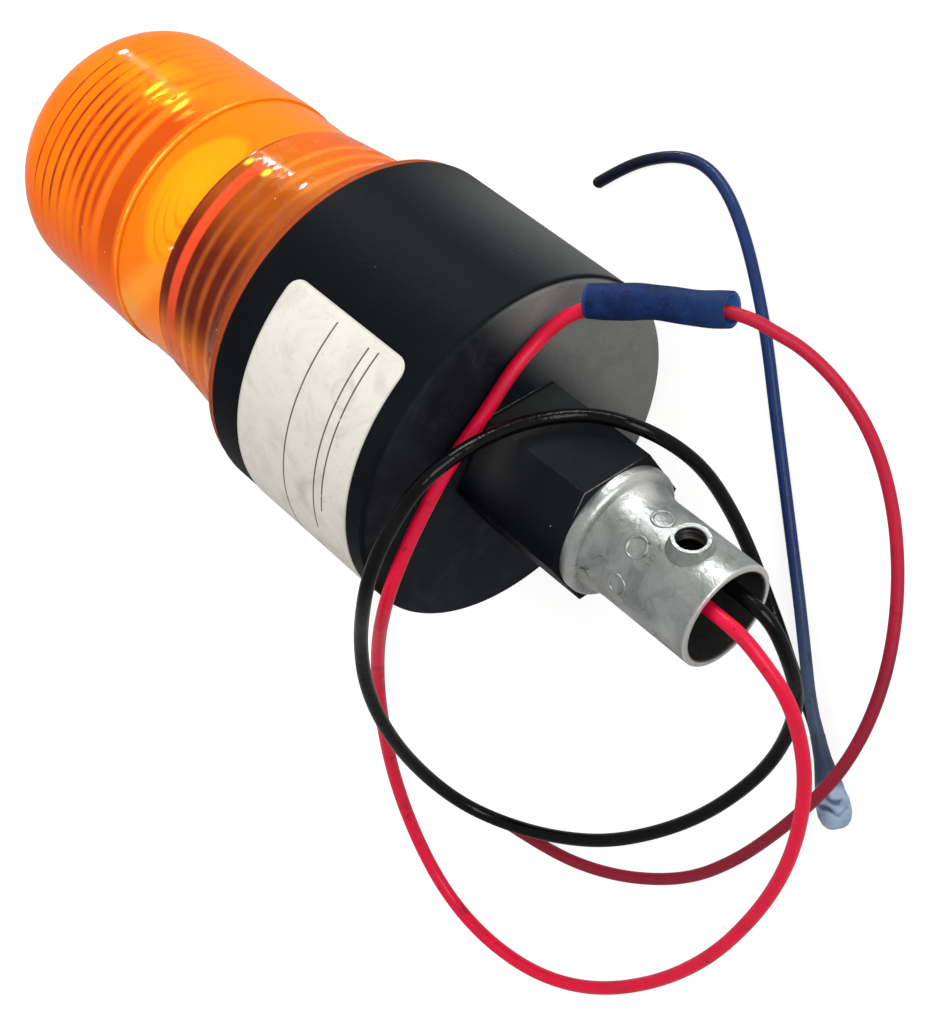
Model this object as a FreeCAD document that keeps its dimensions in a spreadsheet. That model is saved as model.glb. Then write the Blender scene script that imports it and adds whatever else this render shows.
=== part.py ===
import FreeCAD, Part
import Sketcher
import math
import os
import re

# Xenon warning strobe for a conduit mount, lying on its side on a table.
# +X runs along the beacon's axis from the lens tip to the conduit mouth, +Z is up,
# and the table is the plane Z = 0. All sizes are millimetres and degrees.

V = FreeCAD.Vector
doc = FreeCAD.newDocument("warning_strobe")
sheet = doc.addObject("Spreadsheet::Sheet", "Sizes")

SIZES = [
    # housing: a plastic cup with a hexagonal wrench boss
    ("housing_radius", 36.8, "outer radius of the cup, which lies on the table"),
    ("housing_wall", 3.6, "side wall of the cup"),
    ("housing_floor", 4.0, "floor of the cup"),
    ("rim_station", -6.0, "open end of the cup"),
    ("base_station", 39.83, "outer face of the cup's floor"),
    ("rim_round", 0.6, "rounding of the open end"),
    ("base_round", 1.2, "rounding of the closed end"),
    ("seat_station", 3.0, "shoulder that carries the deck plate"),
    ("seat_width", 1.6, "width of that shoulder"),
    ("rebate_depth", 1.4, "step inside the rim that holds the gasket"),
    ("rebate_width", 2.0, "width of that step"),
    ("pillar_radius", 5.0, "screw pillar"),
    ("pillar_bite", 0.4, "how far a pillar sinks into the side wall"),
    ("boss_length", 26.0, "hexagonal boss"),
    ("boss_flats", 26.84, "across flats of the boss"),
    ("boss_angle", -3.0, "boss turned about the axis"),
    ("socket_radius", 10.6, "bore for the connector's thread"),
    ("socket_depth", 14.0, "depth of that bore"),
    ("passage_radius", 5.5, "wire passage through the boss"),
    # deck and lamp
    ("running_gap", 0.3, "between pieces that move on each other"),
    ("deck_thickness", 2.0, "deck plate"),
    ("deck_opening", 7.6, "hole for the lamp leads"),
    ("screw_radius", 1.5, "deck screw shank"),
    ("screw_reach", 10.0, "deck screw shank length"),
    ("screw_slack", 0.1, "hole over shank"),
    ("head_radius", 2.75, "deck screw head"),
    ("head_height", 1.9, "deck screw head"),
    ("post_radius", 9.5, "lamp post"),
    ("post_bore", 7.6, "hollow of the lamp post"),
    ("post_foot", 13.0, "foot flange of the lamp post"),
    ("foot_thickness", 2.0, "foot flange, and the slope above it"),
    ("post_station", -27.0, "top of the lamp post"),
    ("platform_radius", 13.5, "ceramic platform"),
    ("platform_thickness", 3.0, "ceramic platform"),
    ("lamp_tube", 1.7, "flash tube glass radius"),
    ("lamp_coil", 6.3, "flash tube coil radius"),
    ("lamp_pitch", 4.3, "flash tube coil pitch"),
    ("lamp_turns", 2.75, "flash tube coil turns"),
    ("lamp_base", -33.6, "first turn of the coil"),
    ("lamp_rise", 2.0, "crown of the return leg past the last turn"),
    ("leg_slack", 0.08, "platform hole over glass"),
    ("leg_depth", 2.0, "glass let into the platform"),
    ("trigger_wire", 0.35, "trigger wire beside the coil"),
    ("lead_radius", 0.6, "lamp lead wire"),
    # circuit board and its parts
    ("spacer_length", 6.0, "deck to board"),
    ("spacer_radius", 2.5, "board spacer"),
    ("spacer_inset", 6.0, "spacer centre from the board's edge"),
    ("board_slack", 1.6, "circuit board clear of the cup"),
    ("board_thickness", 1.6, "circuit board"),
    ("board_notch", 5.8, "notch round a pillar"),
    ("board_screw", 1.25, "board screw shank"),
    ("board_head", 2.4, "board screw head"),
    ("board_head_height", 1.6, "board screw head"),
    ("board_reach", 4.0, "board screw length in the spacer"),
    ("tap_spare", 0.5, "tapped hole past the screw's end"),
    ("part_gap", 0.5, "board parts clear of the screw heads"),
    ("capacitor_angle", 40.0, "capacitor under board screw 1, from the top"),
    ("capacitor_radius", 8.0, "storage capacitor"),
    ("capacitor_length", 21.5, "storage capacitor"),
    ("core_length", 13.0, "transformer core"),
    ("core_width", 12.0, "transformer core"),
    ("winding_radius", 5.4, "transformer winding"),
    ("winding_length", 5.0, "winding above the core"),
    ("trigger_radius", 3.8, "trigger coil"),
    ("trigger_length", 12.0, "trigger coil"),
    ("transistor_length", 15.0, "power transistor"),
    ("transistor_width", 10.0, "power transistor"),
    ("transistor_thickness", 4.5, "power transistor"),
    ("film_length", 12.0, "film capacitor"),
    ("film_width", 11.0, "film capacitor"),
    ("film_thickness", 5.0, "film capacitor"),
    ("resistor_radius", 1.6, "bleed and limit resistors"),
    ("resistor_length", 8.0, "bleed and limit resistors"),
    ("diode_radius", 1.3, "rectifier diode"),
    ("diode_length", 6.0, "rectifier diode"),
    # cable bush
    ("bush_radius", 5.45, "rubber bush in the passage"),
    ("bush_flange", 7.5, "flange inside the cup"),
    ("bush_lip", 2.0, "flange thickness"),
    # conduit connector
    ("thread_radius", 10.5, "threaded end over crests"),
    ("thread_bore", 8.0, "bore of the threaded end"),
    ("thread_chamfer", 0.8, "lead-in of the thread"),
    ("lip_height", 2.64, "flare above the sleeve"),
    ("lip_length", 1.2, "straight part of the flare"),
    ("lip_round", 1.6, "rounding of the flare"),
    ("sleeve_radius", 10.6, "outside of the conduit sleeve"),
    ("sleeve_wall", 1.4, "conduit sleeve wall"),
    ("sleeve_curve", 4.6, "concave blend from flare to sleeve"),
    ("mouth_station", 94.2, "mouth of the connector"),
    ("mouth_round", 0.4, "rounding of the mouth"),
    ("stop_station", 70.0, "inner stop for the conduit"),
    ("hole_station", 84.6, "set screw hole along the axis"),
    ("hole_angle", 55.0, "set screw hole from the top"),
    ("hole_radius", 2.9, "set screw hole"),
    ("collar_radius", 3.55, "extruded collar"),
    ("collar_foot", 1.0, "how much wider the collar is at its foot"),
    ("collar_height", 1.8, "collar face above the sleeve"),
    # label
    ("label_start", 2.5, "label edge near the rim"),
    ("label_width", 32.4, "label along the axis"),
    ("label_high_angle", 22.2, "label end past the top"),
    ("label_low_angle", 92.0, "label end down the other side"),
    ("label_thickness", 0.15, "label film"),
    ("label_corner", 3.0, "label corners"),
    # gasket and lens
    ("gasket_width", 1.7, "rubber ring, across"),
    ("gasket_thickness", 1.1, "rubber ring, along"),
    ("skirt_reach", 5.5, "skirt length inside the cup"),
    ("flange_inset", 0.5, "flange edge in from the cup's side"),
    ("flange_thickness", 1.3, "lens flange"),
    ("flange_ease", 0.2, "broken edge of the flange"),
    ("lens_wall", 2.5, "lens wall"),
    ("cove_curve", 15.5, "cove above the flange"),
    ("cove_station", -21.0, "end of the cove"),
    ("neck_drop", 5.4, "end of the cove in from the flange"),
    ("belt_start", -33.7, "smooth belt, flange side"),
    ("belt_end", -48.5, "smooth belt, tip side"),
    ("belt_drop", 7.3, "smooth belt in from the flange"),
    ("belt_step", 0.4, "step at each edge of the belt"),
    ("belt_bulge", 26.0, "inner curve of the belt"),
    ("drum_station", -50.0, "foot of the drum"),
    ("drum_drop", 6.8, "foot of the drum in from the flange"),
    ("drum_taper", 0.8, "narrowing of the drum over its length"),
    ("shoulder_station", -79.2, "end of the drum"),
    ("shoulder_curve", 15.0, "rounding of the tip"),
    ("prism_nose", 0.5, "short side of a prism ring"),
    ("prism_depth", 1.25, "prism rings below the belt"),
    ("drum_prism_depth", 0.8, "prism rings in the drum"),
    ("tip_step", 0.7, "shallow rings in the tip's rounding"),
    ("cove_margin", 6.4, "last prism ring from the flange"),
    # leads lying on the table
    ("main_lead", 1.35, "red and black lead radius"),
    ("thin_lead", 1.2, "blue lead and red extension radius"),
    ("splice_radius", 3.3, "splice sleeve outside"),
    ("splice_wall", 0.6, "splice sleeve wall"),
    ("barrel_radius", 2.45, "crimp barrel"),
    ("barrel_start", 8.6, "crimp barrel along the sleeve"),
    ("barrel_length", 10.4, "crimp barrel"),
    ("strip_length", 4.8, "straight lead at the barrel"),
    ("cap_radius", 3.3, "closed-end cap at its fullest"),
    ("cap_length", 17.5, "closed-end cap"),
    ("lead_spread", 0.15, "each lead off the middle of the cap's neck"),
]

# sizes that follow from the ones above
DERIVED = [
    ("wall_bore", "housing_radius - housing_wall", "inside of the cup's rim"),
    ("seat_bore", "wall_bore - seat_width", "inside of the cup under the deck"),
    ("pillar_circle", "seat_bore + pillar_bite - pillar_radius", "pitch radius of the screw pillars"),
    ("deck_top", "seat_station - deck_thickness", "lamp side of the deck"),
    ("platform_top", "post_station - platform_thickness", "lamp side of the platform"),
    ("lamp_crown", "lamp_base - lamp_pitch * lamp_turns - lamp_rise", "crown of the return leg"),
    ("board_radius", "seat_bore - board_slack", "circuit board"),
    ("spacer_circle", "board_radius - spacer_inset", "pitch radius of the board spacers"),
    ("board_face", "seat_station + spacer_length", "lamp side of the board"),
    ("board_back", "board_face + board_thickness", "parts side of the board"),
    ("cup_floor", "base_station - housing_floor", "inner face of the cup's floor"),
    ("boss_face", "base_station + boss_length", "end of the boss"),
    ("socket_floor", "boss_face - socket_depth", "end of the connector's thread"),
    ("lip_radius", "sleeve_radius + lip_height", "flare against the boss"),
    ("collar_top", "sleeve_radius + collar_height", "collar face from the axis"),
    ("skirt_radius", "wall_bore - running_gap", "lens skirt that enters the cup"),
    ("flange_radius", "housing_radius - flange_inset", "lens flange"),
    ("flange_back", "rim_station - running_gap", "lens flange, cup side"),
    ("flange_front", "flange_back - flange_thickness", "lens flange, tip side"),
    ("neck_radius", "flange_radius - neck_drop", "end of the cove"),
    ("belt_radius", "flange_radius - belt_drop", "smooth belt"),
    ("drum_radius", "flange_radius - drum_drop", "foot of the drum"),
    ("shoulder_radius", "drum_radius - drum_taper", "end of the drum"),
    ("skirt_bore", "skirt_radius - lens_wall", "inside of the skirt"),
    ("drum_bore", "drum_radius - lens_wall", "inside of the drum's foot"),
    ("shoulder_bore", "shoulder_radius - lens_wall", "inside of the drum's end"),
    ("tip_station", "shoulder_station - shoulder_curve", "outer face of the tip"),
    ("tip_floor", "tip_station + lens_wall", "inner face of the tip"),
]
ROWS = SIZES + DERIVED
NAMES = re.compile(r"\b(" + "|".join(sorted((row[0] for row in ROWS), key=len, reverse=True)) + r")\b")
for row, (name, size, note) in enumerate(ROWS, 1):
    sheet.set("A%d" % row, name.replace("_", " "))
    sheet.set("B%d" % row, "=" + size if isinstance(size, str) else repr(float(size)))
    sheet.set("C%d" % row, note)
    sheet.setAlias("B%d" % row, name)
doc.recompute()


def bound(text):
    """An expression over the size names, written for the spreadsheet."""
    return NAMES.sub(r"Sizes.\1", text)


def value(text):
    """The number an expression stands for now."""
    return float(sheet.evalExpression(bound(text)))


def link(thing, field, text):
    """Tie one property to an expression."""
    thing.setExpression(field, bound(text))


def plane(body, role):
    """One of the body's own origin planes or axes."""
    return [part for part in body.Origin.OriginFeatures if part.Role == role][0]


def new_body(label, height="housing_radius"):
    """A body whose own X axis is the beacon's axis."""
    body = doc.addObject("PartDesign::Body", label)
    body.Label = label
    link(body, "Placement.Base.z", height)
    return body


def outline(body, corners, label):
    """Closed sketch of (along, across) expression pairs in the XZ plane.

    A corner with four entries is reached by an arc of the third entry's radius; the fourth
    entry is +1 where the arc's centre lies left of the direction of travel and -1 right of it.
    """
    sketch = body.newObject("Sketcher::SketchObject", label)
    sketch.AttachmentSupport = (plane(body, "XZ_Plane"), [""])
    sketch.MapMode = "FlatFace"
    spots = [(value(c[0]), value(c[1])) for c in corners]
    count = len(corners)
    ends = []
    for i in range(count):
        goal = corners[(i + 1) % count]
        p = V(spots[i][0], spots[i][1], 0)
        q = V(spots[(i + 1) % count][0], spots[(i + 1) % count][1], 0)
        if len(goal) == 2:
            sketch.addGeometry(Part.LineSegment(p, q), False)
            ends.append((1, 2))
            continue
        radius = value(goal[2])
        middle = (p + q) * 0.5
        chord = q - p
        rise = math.sqrt(max(radius * radius - chord.Length ** 2 / 4.0, 0.0))
        left = V(-chord.y, chord.x, 0).normalize()
        centre = middle + left * rise * goal[3]
        a = math.atan2(p.y - centre.y, p.x - centre.x)
        b = math.atan2(q.y - centre.y, q.x - centre.x)
        if goal[3] < 0:
            a, b = b, a
        circle = Part.Circle(centre, V(0, 0, 1), radius)
        sketch.addGeometry(Part.ArcOfCircle(circle, a, b), False)
        ends.append((1, 2) if goal[3] > 0 else (2, 1))
    for i in range(count):
        after = (i + 1) % count
        sketch.addConstraint(Sketcher.Constraint("Coincident", i, ends[i][1], after, ends[after][0]))
    for i in range(count):
        for kind, k in (("DistanceX", 0), ("DistanceY", 1)):
            rule = Sketcher.Constraint(kind, -1, 1, i, ends[i][0], spots[i][k])
            number = sketch.addConstraint(rule)
            sketch.setExpression("Constraints[%d]" % number, bound(corners[i][k]))
    for i in range(count):
        goal = corners[(i + 1) % count]
        if len(goal) == 4:
            number = sketch.addConstraint(Sketcher.Constraint("Radius", i, value(goal[2])))
            sketch.setExpression("Constraints[%d]" % number, bound(goal[2]))
    return sketch


def turned(body, corners, label="Turned", kind="Revolution", angle=360):
    """Turn an outline about the body's X axis."""
    sketch = outline(body, corners, label + "Outline")
    feature = body.newObject("PartDesign::" + kind, label)
    feature.Profile = sketch
    feature.ReferenceAxis = (sketch, ["H_Axis"])
    feature.Angle = angle
    return feature


ALONG = FreeCAD.Rotation(V(0, 1, 0), 90)


def round_feature(body, kind, label, start, end, radius, y="0", z="0"):
    """Add or remove a round bar along X from start to end."""
    feature = body.newObject("PartDesign::%sCylinder" % kind, label)
    feature.MapMode = "Deactivated"
    feature.Placement = FreeCAD.Placement(V(0, 0, 0), ALONG)
    link(feature, "Radius", radius)
    link(feature, "Height", "(%s) - (%s)" % (end, start))
    link(feature, "Placement.Base.x", start)
    link(feature, "Placement.Base.y", y)
    link(feature, "Placement.Base.z", z)
    return feature


def three_round(body, feature, label):
    """Repeat a feature at three places round the axis."""
    body.Tip = feature
    pattern = body.newObject("PartDesign::PolarPattern", label)
    pattern.Originals = [feature]
    pattern.Axis = (plane(body, "X_Axis"), [""])
    pattern.Angle = 360
    pattern.Occurrences = 3
    body.Tip = pattern
    return pattern


def rod(label, start, end, radius, y="0", z="0"):
    """A plain round bar along X."""
    body = new_body(label)
    round_feature(body, "Additive", "Bar", start, end, radius, y, z)
    return body


def block(label, start, sizes, y, z):
    """A rectangular block standing on the board, centred at y, z."""
    body = new_body(label)
    feature = body.newObject("PartDesign::AdditiveBox", "Block")
    feature.MapMode = "Deactivated"
    link(feature, "Length", sizes[0])
    link(feature, "Width", sizes[1])
    link(feature, "Height", sizes[2])
    link(feature, "Placement.Base.x", start)
    link(feature, "Placement.Base.y", "(%s) - (%s) / 2" % (y, sizes[1]))
    link(feature, "Placement.Base.z", "(%s) - (%s) / 2" % (z, sizes[2]))
    return body


def polar(radius, degrees):
    """Expressions for y and z at an angle measured from the top toward +Y."""
    return "(%s) * sin(%s)" % (radius, degrees), "(%s) * cos(%s)" % (radius, degrees)


def centreline(points):
    """Straight runs joined by tangent arcs. Returns the wire, its length and least radius."""
    spots = [V(*p) for p in points]
    edges = []
    length = 0.0
    least = None
    start = spots[0]
    for i in range(1, len(spots) - 1):
        back = spots[i - 1] - spots[i]
        ahead = spots[i + 1] - spots[i]
        cut = 0.45 * min(back.Length, ahead.Length)
        back.normalize()
        ahead.normalize()
        half = (math.pi - back.getAngle(ahead)) / 2.0
        radius = cut / math.tan(half)
        into = spots[i] + back * cut
        out = spots[i] + ahead * cut
        centre = spots[i] + (back + ahead).normalize() * (radius / math.cos(half))
        crown = centre + (spots[i] - centre).normalize() * radius
        edges.append(Part.LineSegment(start, into).toShape())
        edges.append(Part.Arc(into, crown, out).toShape())
        length += (into - start).Length + 2 * half * radius
        least = radius if least is None else min(least, radius)
        start = out
    edges.append(Part.LineSegment(start, spots[-1]).toShape())
    length += (spots[-1] - start).Length
    return Part.Wire(edges), length, least


def tube(label, points, radius, height="housing_radius"):
    """A round tube swept along a centreline, its section bound to the sheet."""
    wire, length, least = centreline(points)
    path = doc.addObject("Part::Feature", label + "_path")
    path.Shape = wire
    section = doc.addObject("Part::Circle", label + "_section")
    link(section, "Radius", radius)
    turn = FreeCAD.Rotation(V(0, 0, 1), V(*points[1]) - V(*points[0]))
    section.Placement = FreeCAD.Placement(V(*points[0]), turn)
    sweep = doc.addObject("Part::Sweep", label)
    sweep.Label = label
    sweep.Sections = [section]
    sweep.Spine = (path, ["Edge%d" % (n + 1) for n in range(len(wire.Edges))])
    sweep.Solid = True
    sweep.Frenet = False
    if height:
        link(sweep, "Placement.Base.z", height)
    doc.recompute()
    expected = math.pi * value(radius) ** 2 * length
    print(label, "length", round(length, 1), "least radius", round(least or 0, 1),
          "volume over section times length", round(sweep.Shape.Volume / expected, 4))
    return sweep


nodes = []

# ---------------------------------------------------------------- housing
housing = new_body("housing")
turned(housing, [
    ("rim_station + rebate_depth", "wall_bore"),
    ("rim_station + rebate_depth", "wall_bore + rebate_width"),
    ("rim_station", "wall_bore + rebate_width"),
    ("rim_station", "housing_radius - rim_round"),
    ("rim_station + rim_round", "housing_radius", "rim_round", -1),
    ("base_station - base_round", "housing_radius"),
    ("base_station", "housing_radius - base_round", "base_round", -1),
    ("base_station", "0"),
    ("cup_floor", "0"),
    ("cup_floor", "seat_bore"),
    ("seat_station", "seat_bore"),
    ("seat_station", "wall_bore"),
], "Cup")
boss = housing.newObject("PartDesign::AdditivePrism", "Boss")
boss.MapMode = "Deactivated"
boss.Polygon = 6
boss.Placement = FreeCAD.Placement(V(0, 0, 0), ALONG)
link(boss, "Circumradius", "boss_flats / 2 / cos(30)")
link(boss, "Height", "boss_length + 1")
link(boss, "Placement.Base.x", "base_station - 1")
doc.recompute()
boss.Placement = FreeCAD.Placement(boss.Placement.Base,
                                   FreeCAD.Rotation(V(1, 0, 0), -30 - value("boss_angle")).multiply(ALONG))
pillar = round_feature(housing, "Additive", "Pillar", "seat_station",
                       "cup_floor + 1", "pillar_radius", "0", "pillar_circle")
three_round(housing, pillar, "Pillars")
pilot = round_feature(housing, "Subtractive", "Pilot", "seat_station - 1",
                      "seat_station + screw_reach + 1", "screw_radius + screw_slack", "0", "pillar_circle")
three_round(housing, pilot, "Pilots")
round_feature(housing, "Subtractive", "Socket", "socket_floor", "boss_face + 1", "socket_radius")
round_feature(housing, "Subtractive", "Passage", "cup_floor - 1", "boss_face", "passage_radius")
nodes.append(housing)

# label film wrapped on the cup, corners rounded
label = new_body("id_label")
film = turned(label, [
    ("label_start", "housing_radius"),
    ("label_start", "housing_radius + label_thickness"),
    ("label_start + label_width", "housing_radius + label_thickness"),
    ("label_start + label_width", "housing_radius"),
], "Film", "Revolution", value("label_high_angle + label_low_angle"))
link(film, "Angle", "label_high_angle + label_low_angle")
high_end = FreeCAD.Rotation(V(1, 0, 0), -value("label_high_angle"))
label.Placement = FreeCAD.Placement(label.Placement.Base, high_end)
doc.recompute()
short = ["Edge%d" % (n + 1) for n, edge in enumerate(film.Shape.Edges)
         if edge.Length < value("label_thickness") * 1.5]
corners = label.newObject("PartDesign::Fillet", "Corners")
corners.Base = (film, short)
link(corners, "Radius", "label_corner")
nodes.append(label)

# ---------------------------------------------------------------- deck and lamp
deck = new_body("deck_plate")
turned(deck, [
    ("deck_top", "deck_opening"),
    ("deck_top", "wall_bore - running_gap"),
    ("seat_station", "wall_bore - running_gap"),
    ("seat_station", "deck_opening"),
], "Plate")
clear = round_feature(deck, "Subtractive", "ScrewHole", "deck_top - 1", "seat_station + 1",
                      "screw_radius + screw_slack", "0", "pillar_circle")
three_round(deck, clear, "ScrewHoles")
nodes.append(deck)

for number, angle in ((1, "0"), (2, "120"), (3, "240")):
    y, z = polar("pillar_circle", angle)
    screw = new_body("deck_screw_%d" % number)
    round_feature(screw, "Additive", "Head", "deck_top - head_height", "deck_top", "head_radius", y, z)
    round_feature(screw, "Additive", "Shank", "deck_top - 0.5", "seat_station + screw_reach",
                  "screw_radius", y, z)
    nodes.append(screw)

post = new_body("lamp_post")
turned(post, [
    ("post_station", "post_bore"),
    ("post_station", "post_radius"),
    ("deck_top - 2 * foot_thickness", "post_radius"),
    ("deck_top - foot_thickness", "post_foot"),
    ("deck_top", "post_foot"),
    ("deck_top", "post_bore"),
], "Post")
nodes.append(post)

platform = new_body("tube_platform")
round_feature(platform, "Additive", "Disc", "platform_top", "post_station", "platform_radius")
leg_hole = "lamp_tube + leg_slack"
round_feature(platform, "Subtractive", "CentreHole", "platform_top - 1", "post_station + 1", leg_hole)
leg_angle = "360 * lamp_turns"
leg_y, leg_z = polar("lamp_coil", leg_angle)
round_feature(platform, "Subtractive", "SideHole", "platform_top - 1", "post_station + 1",
              leg_hole, leg_y, leg_z)
nodes.append(platform)

# helical flash tube: a return leg up the middle, a crown, the coil, a leg down
coil = value("lamp_coil")
base = value("lamp_base")
crown = value("lamp_crown")
foot = value("platform_top + leg_depth")
steps = int(round(11 * value("lamp_turns")))
glass = [(foot, 0.0, 0.0), (crown + 0.1 * coil, 0.0, 0.0), (crown, 0.0, 0.73 * coil)]
reach = coil / math.cos(math.pi * value("lamp_turns") / steps)
for k in range(1, steps + 1):
    turn = 2 * math.pi * value("lamp_turns") * k / steps
    station = base - value("lamp_pitch") * value("lamp_turns") * (1 - k / float(steps))
    glass.append((station, reach * math.sin(turn), reach * math.cos(turn)))
last_turn = 2 * math.pi * value("lamp_turns")
last = (coil * math.sin(last_turn), coil * math.cos(last_turn))
glass[-1] = (base + 0.13 * coil, last[0], last[1])
glass.append((foot, last[0], last[1]))
nodes.append(tube("flash_tube", glass, "lamp_tube"))

# trigger wire: stands on the platform beside the coil and hooks over its crown
beside = coil + value("lamp_tube + trigger_wire + running_gap")
hook = [(value("platform_top"), beside, 0.0), (crown + 0.95 * coil, beside, 0.05 * coil),
        (crown + 0.25 * coil, beside - 0.05 * coil, 0.02 * coil),
        (crown - 0.25 * coil, beside - 0.41 * coil, -0.06 * coil),
        (crown - 0.35 * coil, beside - 0.83 * coil, -0.16 * coil)]
nodes.append(tube("trigger_wire", hook, "trigger_wire"))

for number, y, z in ((1, "0", "0"), (2, leg_y, leg_z)):
    nodes.append(rod("lamp_lead_%d" % number, "platform_top + leg_depth", "board_face", "lead_radius", y, z))

# ---------------------------------------------------------------- circuit board
for number, angle in ((1, "60"), (2, "180"), (3, "300")):
    y, z = polar("spacer_circle", angle)
    spacer = new_body("board_spacer_%d" % number)
    round_feature(spacer, "Additive", "Spacer", "seat_station", "board_face", "spacer_radius", y, z)
    round_feature(spacer, "Subtractive", "Tap", "board_face - board_reach - tap_spare",
                  "board_face + 1", "board_screw + screw_slack", y, z)
    nodes.append(spacer)
    fixing = new_body("board_screw_%d" % number)
    round_feature(fixing, "Additive", "Shank", "board_face - board_reach",
                  "board_back + board_head_height / 2", "board_screw", y, z)
    round_feature(fixing, "Additive", "Head", "board_back", "board_back + board_head_height",
                  "board_head", y, z)
    nodes.append(fixing)

board = new_body("circuit_board")
round_feature(board, "Additive", "Disc", "board_face", "board_back", "board_radius")
notch = round_feature(board, "Subtractive", "Notch", "board_face - 1", "board_back + 1",
                      "board_notch", "0", "pillar_circle")
three_round(board, notch, "Notches")
hole_y, hole_z = polar("spacer_circle", "60")
drilled = round_feature(board, "Subtractive", "Hole", "board_face - 1", "board_back + 1",
                        "board_screw + screw_slack", hole_y, hole_z)
three_round(board, drilled, "Holes")
nodes.append(board)


def spot(y_share, z_share):
    """Expressions for a place on the board, in shares of its radius."""
    return "board_radius * %s" % y_share, "board_radius * %s" % z_share


# the capacitor and the transformer stand clear of the heads of board screws 1 and 3
screw_y, screw_z = polar("spacer_circle", "60")
aside_y, aside_z = polar("board_head + part_gap + capacitor_radius", "capacitor_angle")
capacitor_spot = ("%s - %s" % (screw_y, aside_y), "%s - %s" % (screw_z, aside_z))
core_spot = ("board_head + part_gap + core_width / 2 - %s" % screw_y, "spacer_circle / 6")
trigger_spot = ("%s - core_width / 6" % core_spot[0],
                "%s - core_width / 2 - trigger_radius - 3 * part_gap" % core_spot[1])
# round parts: label, where it starts and its length past the board's back, radius, place
ROUND_PARTS = [
    ("storage_capacitor", "0", "capacitor_length", "capacitor_radius", capacitor_spot),
    ("transformer_winding", "core_length", "winding_length", "winding_radius", core_spot),
    ("trigger_coil", "0", "trigger_length", "trigger_radius", trigger_spot),
    ("bleed_resistor", "0", "resistor_length", "resistor_radius", spot(-0.133, -0.3)),
    ("limit_resistor", "0", "resistor_length", "resistor_radius", spot(0.1, -0.333)),
    ("rectifier_diode", "0", "diode_length", "diode_radius", spot(-0.683, -0.117)),
]
# square parts: label, their three sizes, place
SQUARE_PARTS = [
    ("transformer_core", ("core_length", "core_width", "core_width"), core_spot),
    ("power_transistor", ("transistor_length", "transistor_width", "transistor_thickness"),
     spot(0.367, -0.367)),
    ("film_capacitor", ("film_length", "film_width", "film_thickness"), spot(-0.033, -0.567)),
]
for name, start, length, radius, (y, z) in ROUND_PARTS:
    nodes.append(rod(name, "board_back + " + start, "board_back + %s + %s" % (start, length), radius, y, z))
for name, sizes, (y, z) in SQUARE_PARTS:
    nodes.append(block(name, "board_back", sizes, y, z))

# ---------------------------------------------------------------- bush and lead tails
bush = new_body("lead_bush")
turned(bush, [
    ("cup_floor - bush_lip", "0"),
    ("cup_floor - bush_lip", "bush_flange"),
    ("cup_floor", "bush_flange"),
    ("cup_floor", "bush_radius"),
    ("socket_floor", "bush_radius"),
    ("socket_floor", "0"),
], "Bush")
nodes.append(bush)
for name, y, z in (("red_tail", "0.2", "2.5"), ("black_tail", "0.4", "-1.9")):
    nodes.append(rod(name, "board_back", "cup_floor - bush_lip", "main_lead", y, z))

# ---------------------------------------------------------------- conduit connector
flare_end = "boss_face + lip_length + lip_round + sleeve_curve"
flare_drop = "lip_radius - lip_round - sleeve_radius"
connector = new_body("conduit_connector")
turned(connector, [
    ("socket_floor", "thread_bore"),
    ("socket_floor", "thread_radius - thread_chamfer"),
    ("socket_floor + thread_chamfer", "thread_radius"),
    ("boss_face", "thread_radius"),
    ("boss_face", "lip_radius"),
    ("boss_face + lip_length", "lip_radius"),
    ("boss_face + lip_length + lip_round", "lip_radius - lip_round", "lip_round", -1),
    (flare_end, "sleeve_radius", "(sleeve_curve ^ 2 + (%s) ^ 2) / (2 * (%s))" % (flare_drop, flare_drop), 1),
    ("mouth_station - mouth_round", "sleeve_radius"),
    ("mouth_station", "sleeve_radius - mouth_round", "mouth_round", -1),
    ("mouth_station", "sleeve_radius - sleeve_wall + mouth_round"),
    ("mouth_station - mouth_round", "sleeve_radius - sleeve_wall", "mouth_round", -1),
    ("stop_station", "sleeve_radius - sleeve_wall"),
    ("stop_station", "thread_bore"),
], "Shell")
doc.recompute()
outward = FreeCAD.Rotation(V(1, 0, 0), -value("hole_angle"))


def radial(kind, label, low, high, radius, top=None):
    """A round or tapered boss or hole that stands on the axis at the set screw's angle."""
    shape = "Cone" if top else "Cylinder"
    feature = connector.newObject("PartDesign::%s%s" % (kind, shape), label)
    feature.MapMode = "Deactivated"
    feature.Placement = FreeCAD.Placement(V(0, 0, 0), outward)
    if top:
        link(feature, "Radius1", radius)
        link(feature, "Radius2", top)
    else:
        link(feature, "Radius", radius)
    link(feature, "Height", "(%s) - (%s)" % (high, low))
    link(feature, "Placement.Base.x", "hole_station")
    link(feature, "Placement.Base.y", "(%s) * sin(hole_angle)" % low)
    link(feature, "Placement.Base.z", "(%s) * cos(hole_angle)" % low)
    return feature


skin = "sleeve_radius - sleeve_wall / 2"
radial("Additive", "Collar", skin, "collar_top", "collar_radius")
radial("Additive", "CollarFoot", skin, "collar_top - collar_foot / 2", "collar_radius + collar_foot",
       "collar_radius")
radial("Subtractive", "ScrewHole", "sleeve_radius / 2", "collar_top + 1", "hole_radius")
nodes.append(connector)

# ---------------------------------------------------------------- gasket and lens
gasket = new_body("lens_gasket")
turned(gasket, [
    ("rim_station", "wall_bore"),
    ("rim_station", "wall_bore + gasket_width"),
    ("rim_station + gasket_thickness", "wall_bore + gasket_width"),
    ("rim_station + gasket_thickness", "wall_bore"),
], "Ring")
nodes.append(gasket)

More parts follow.
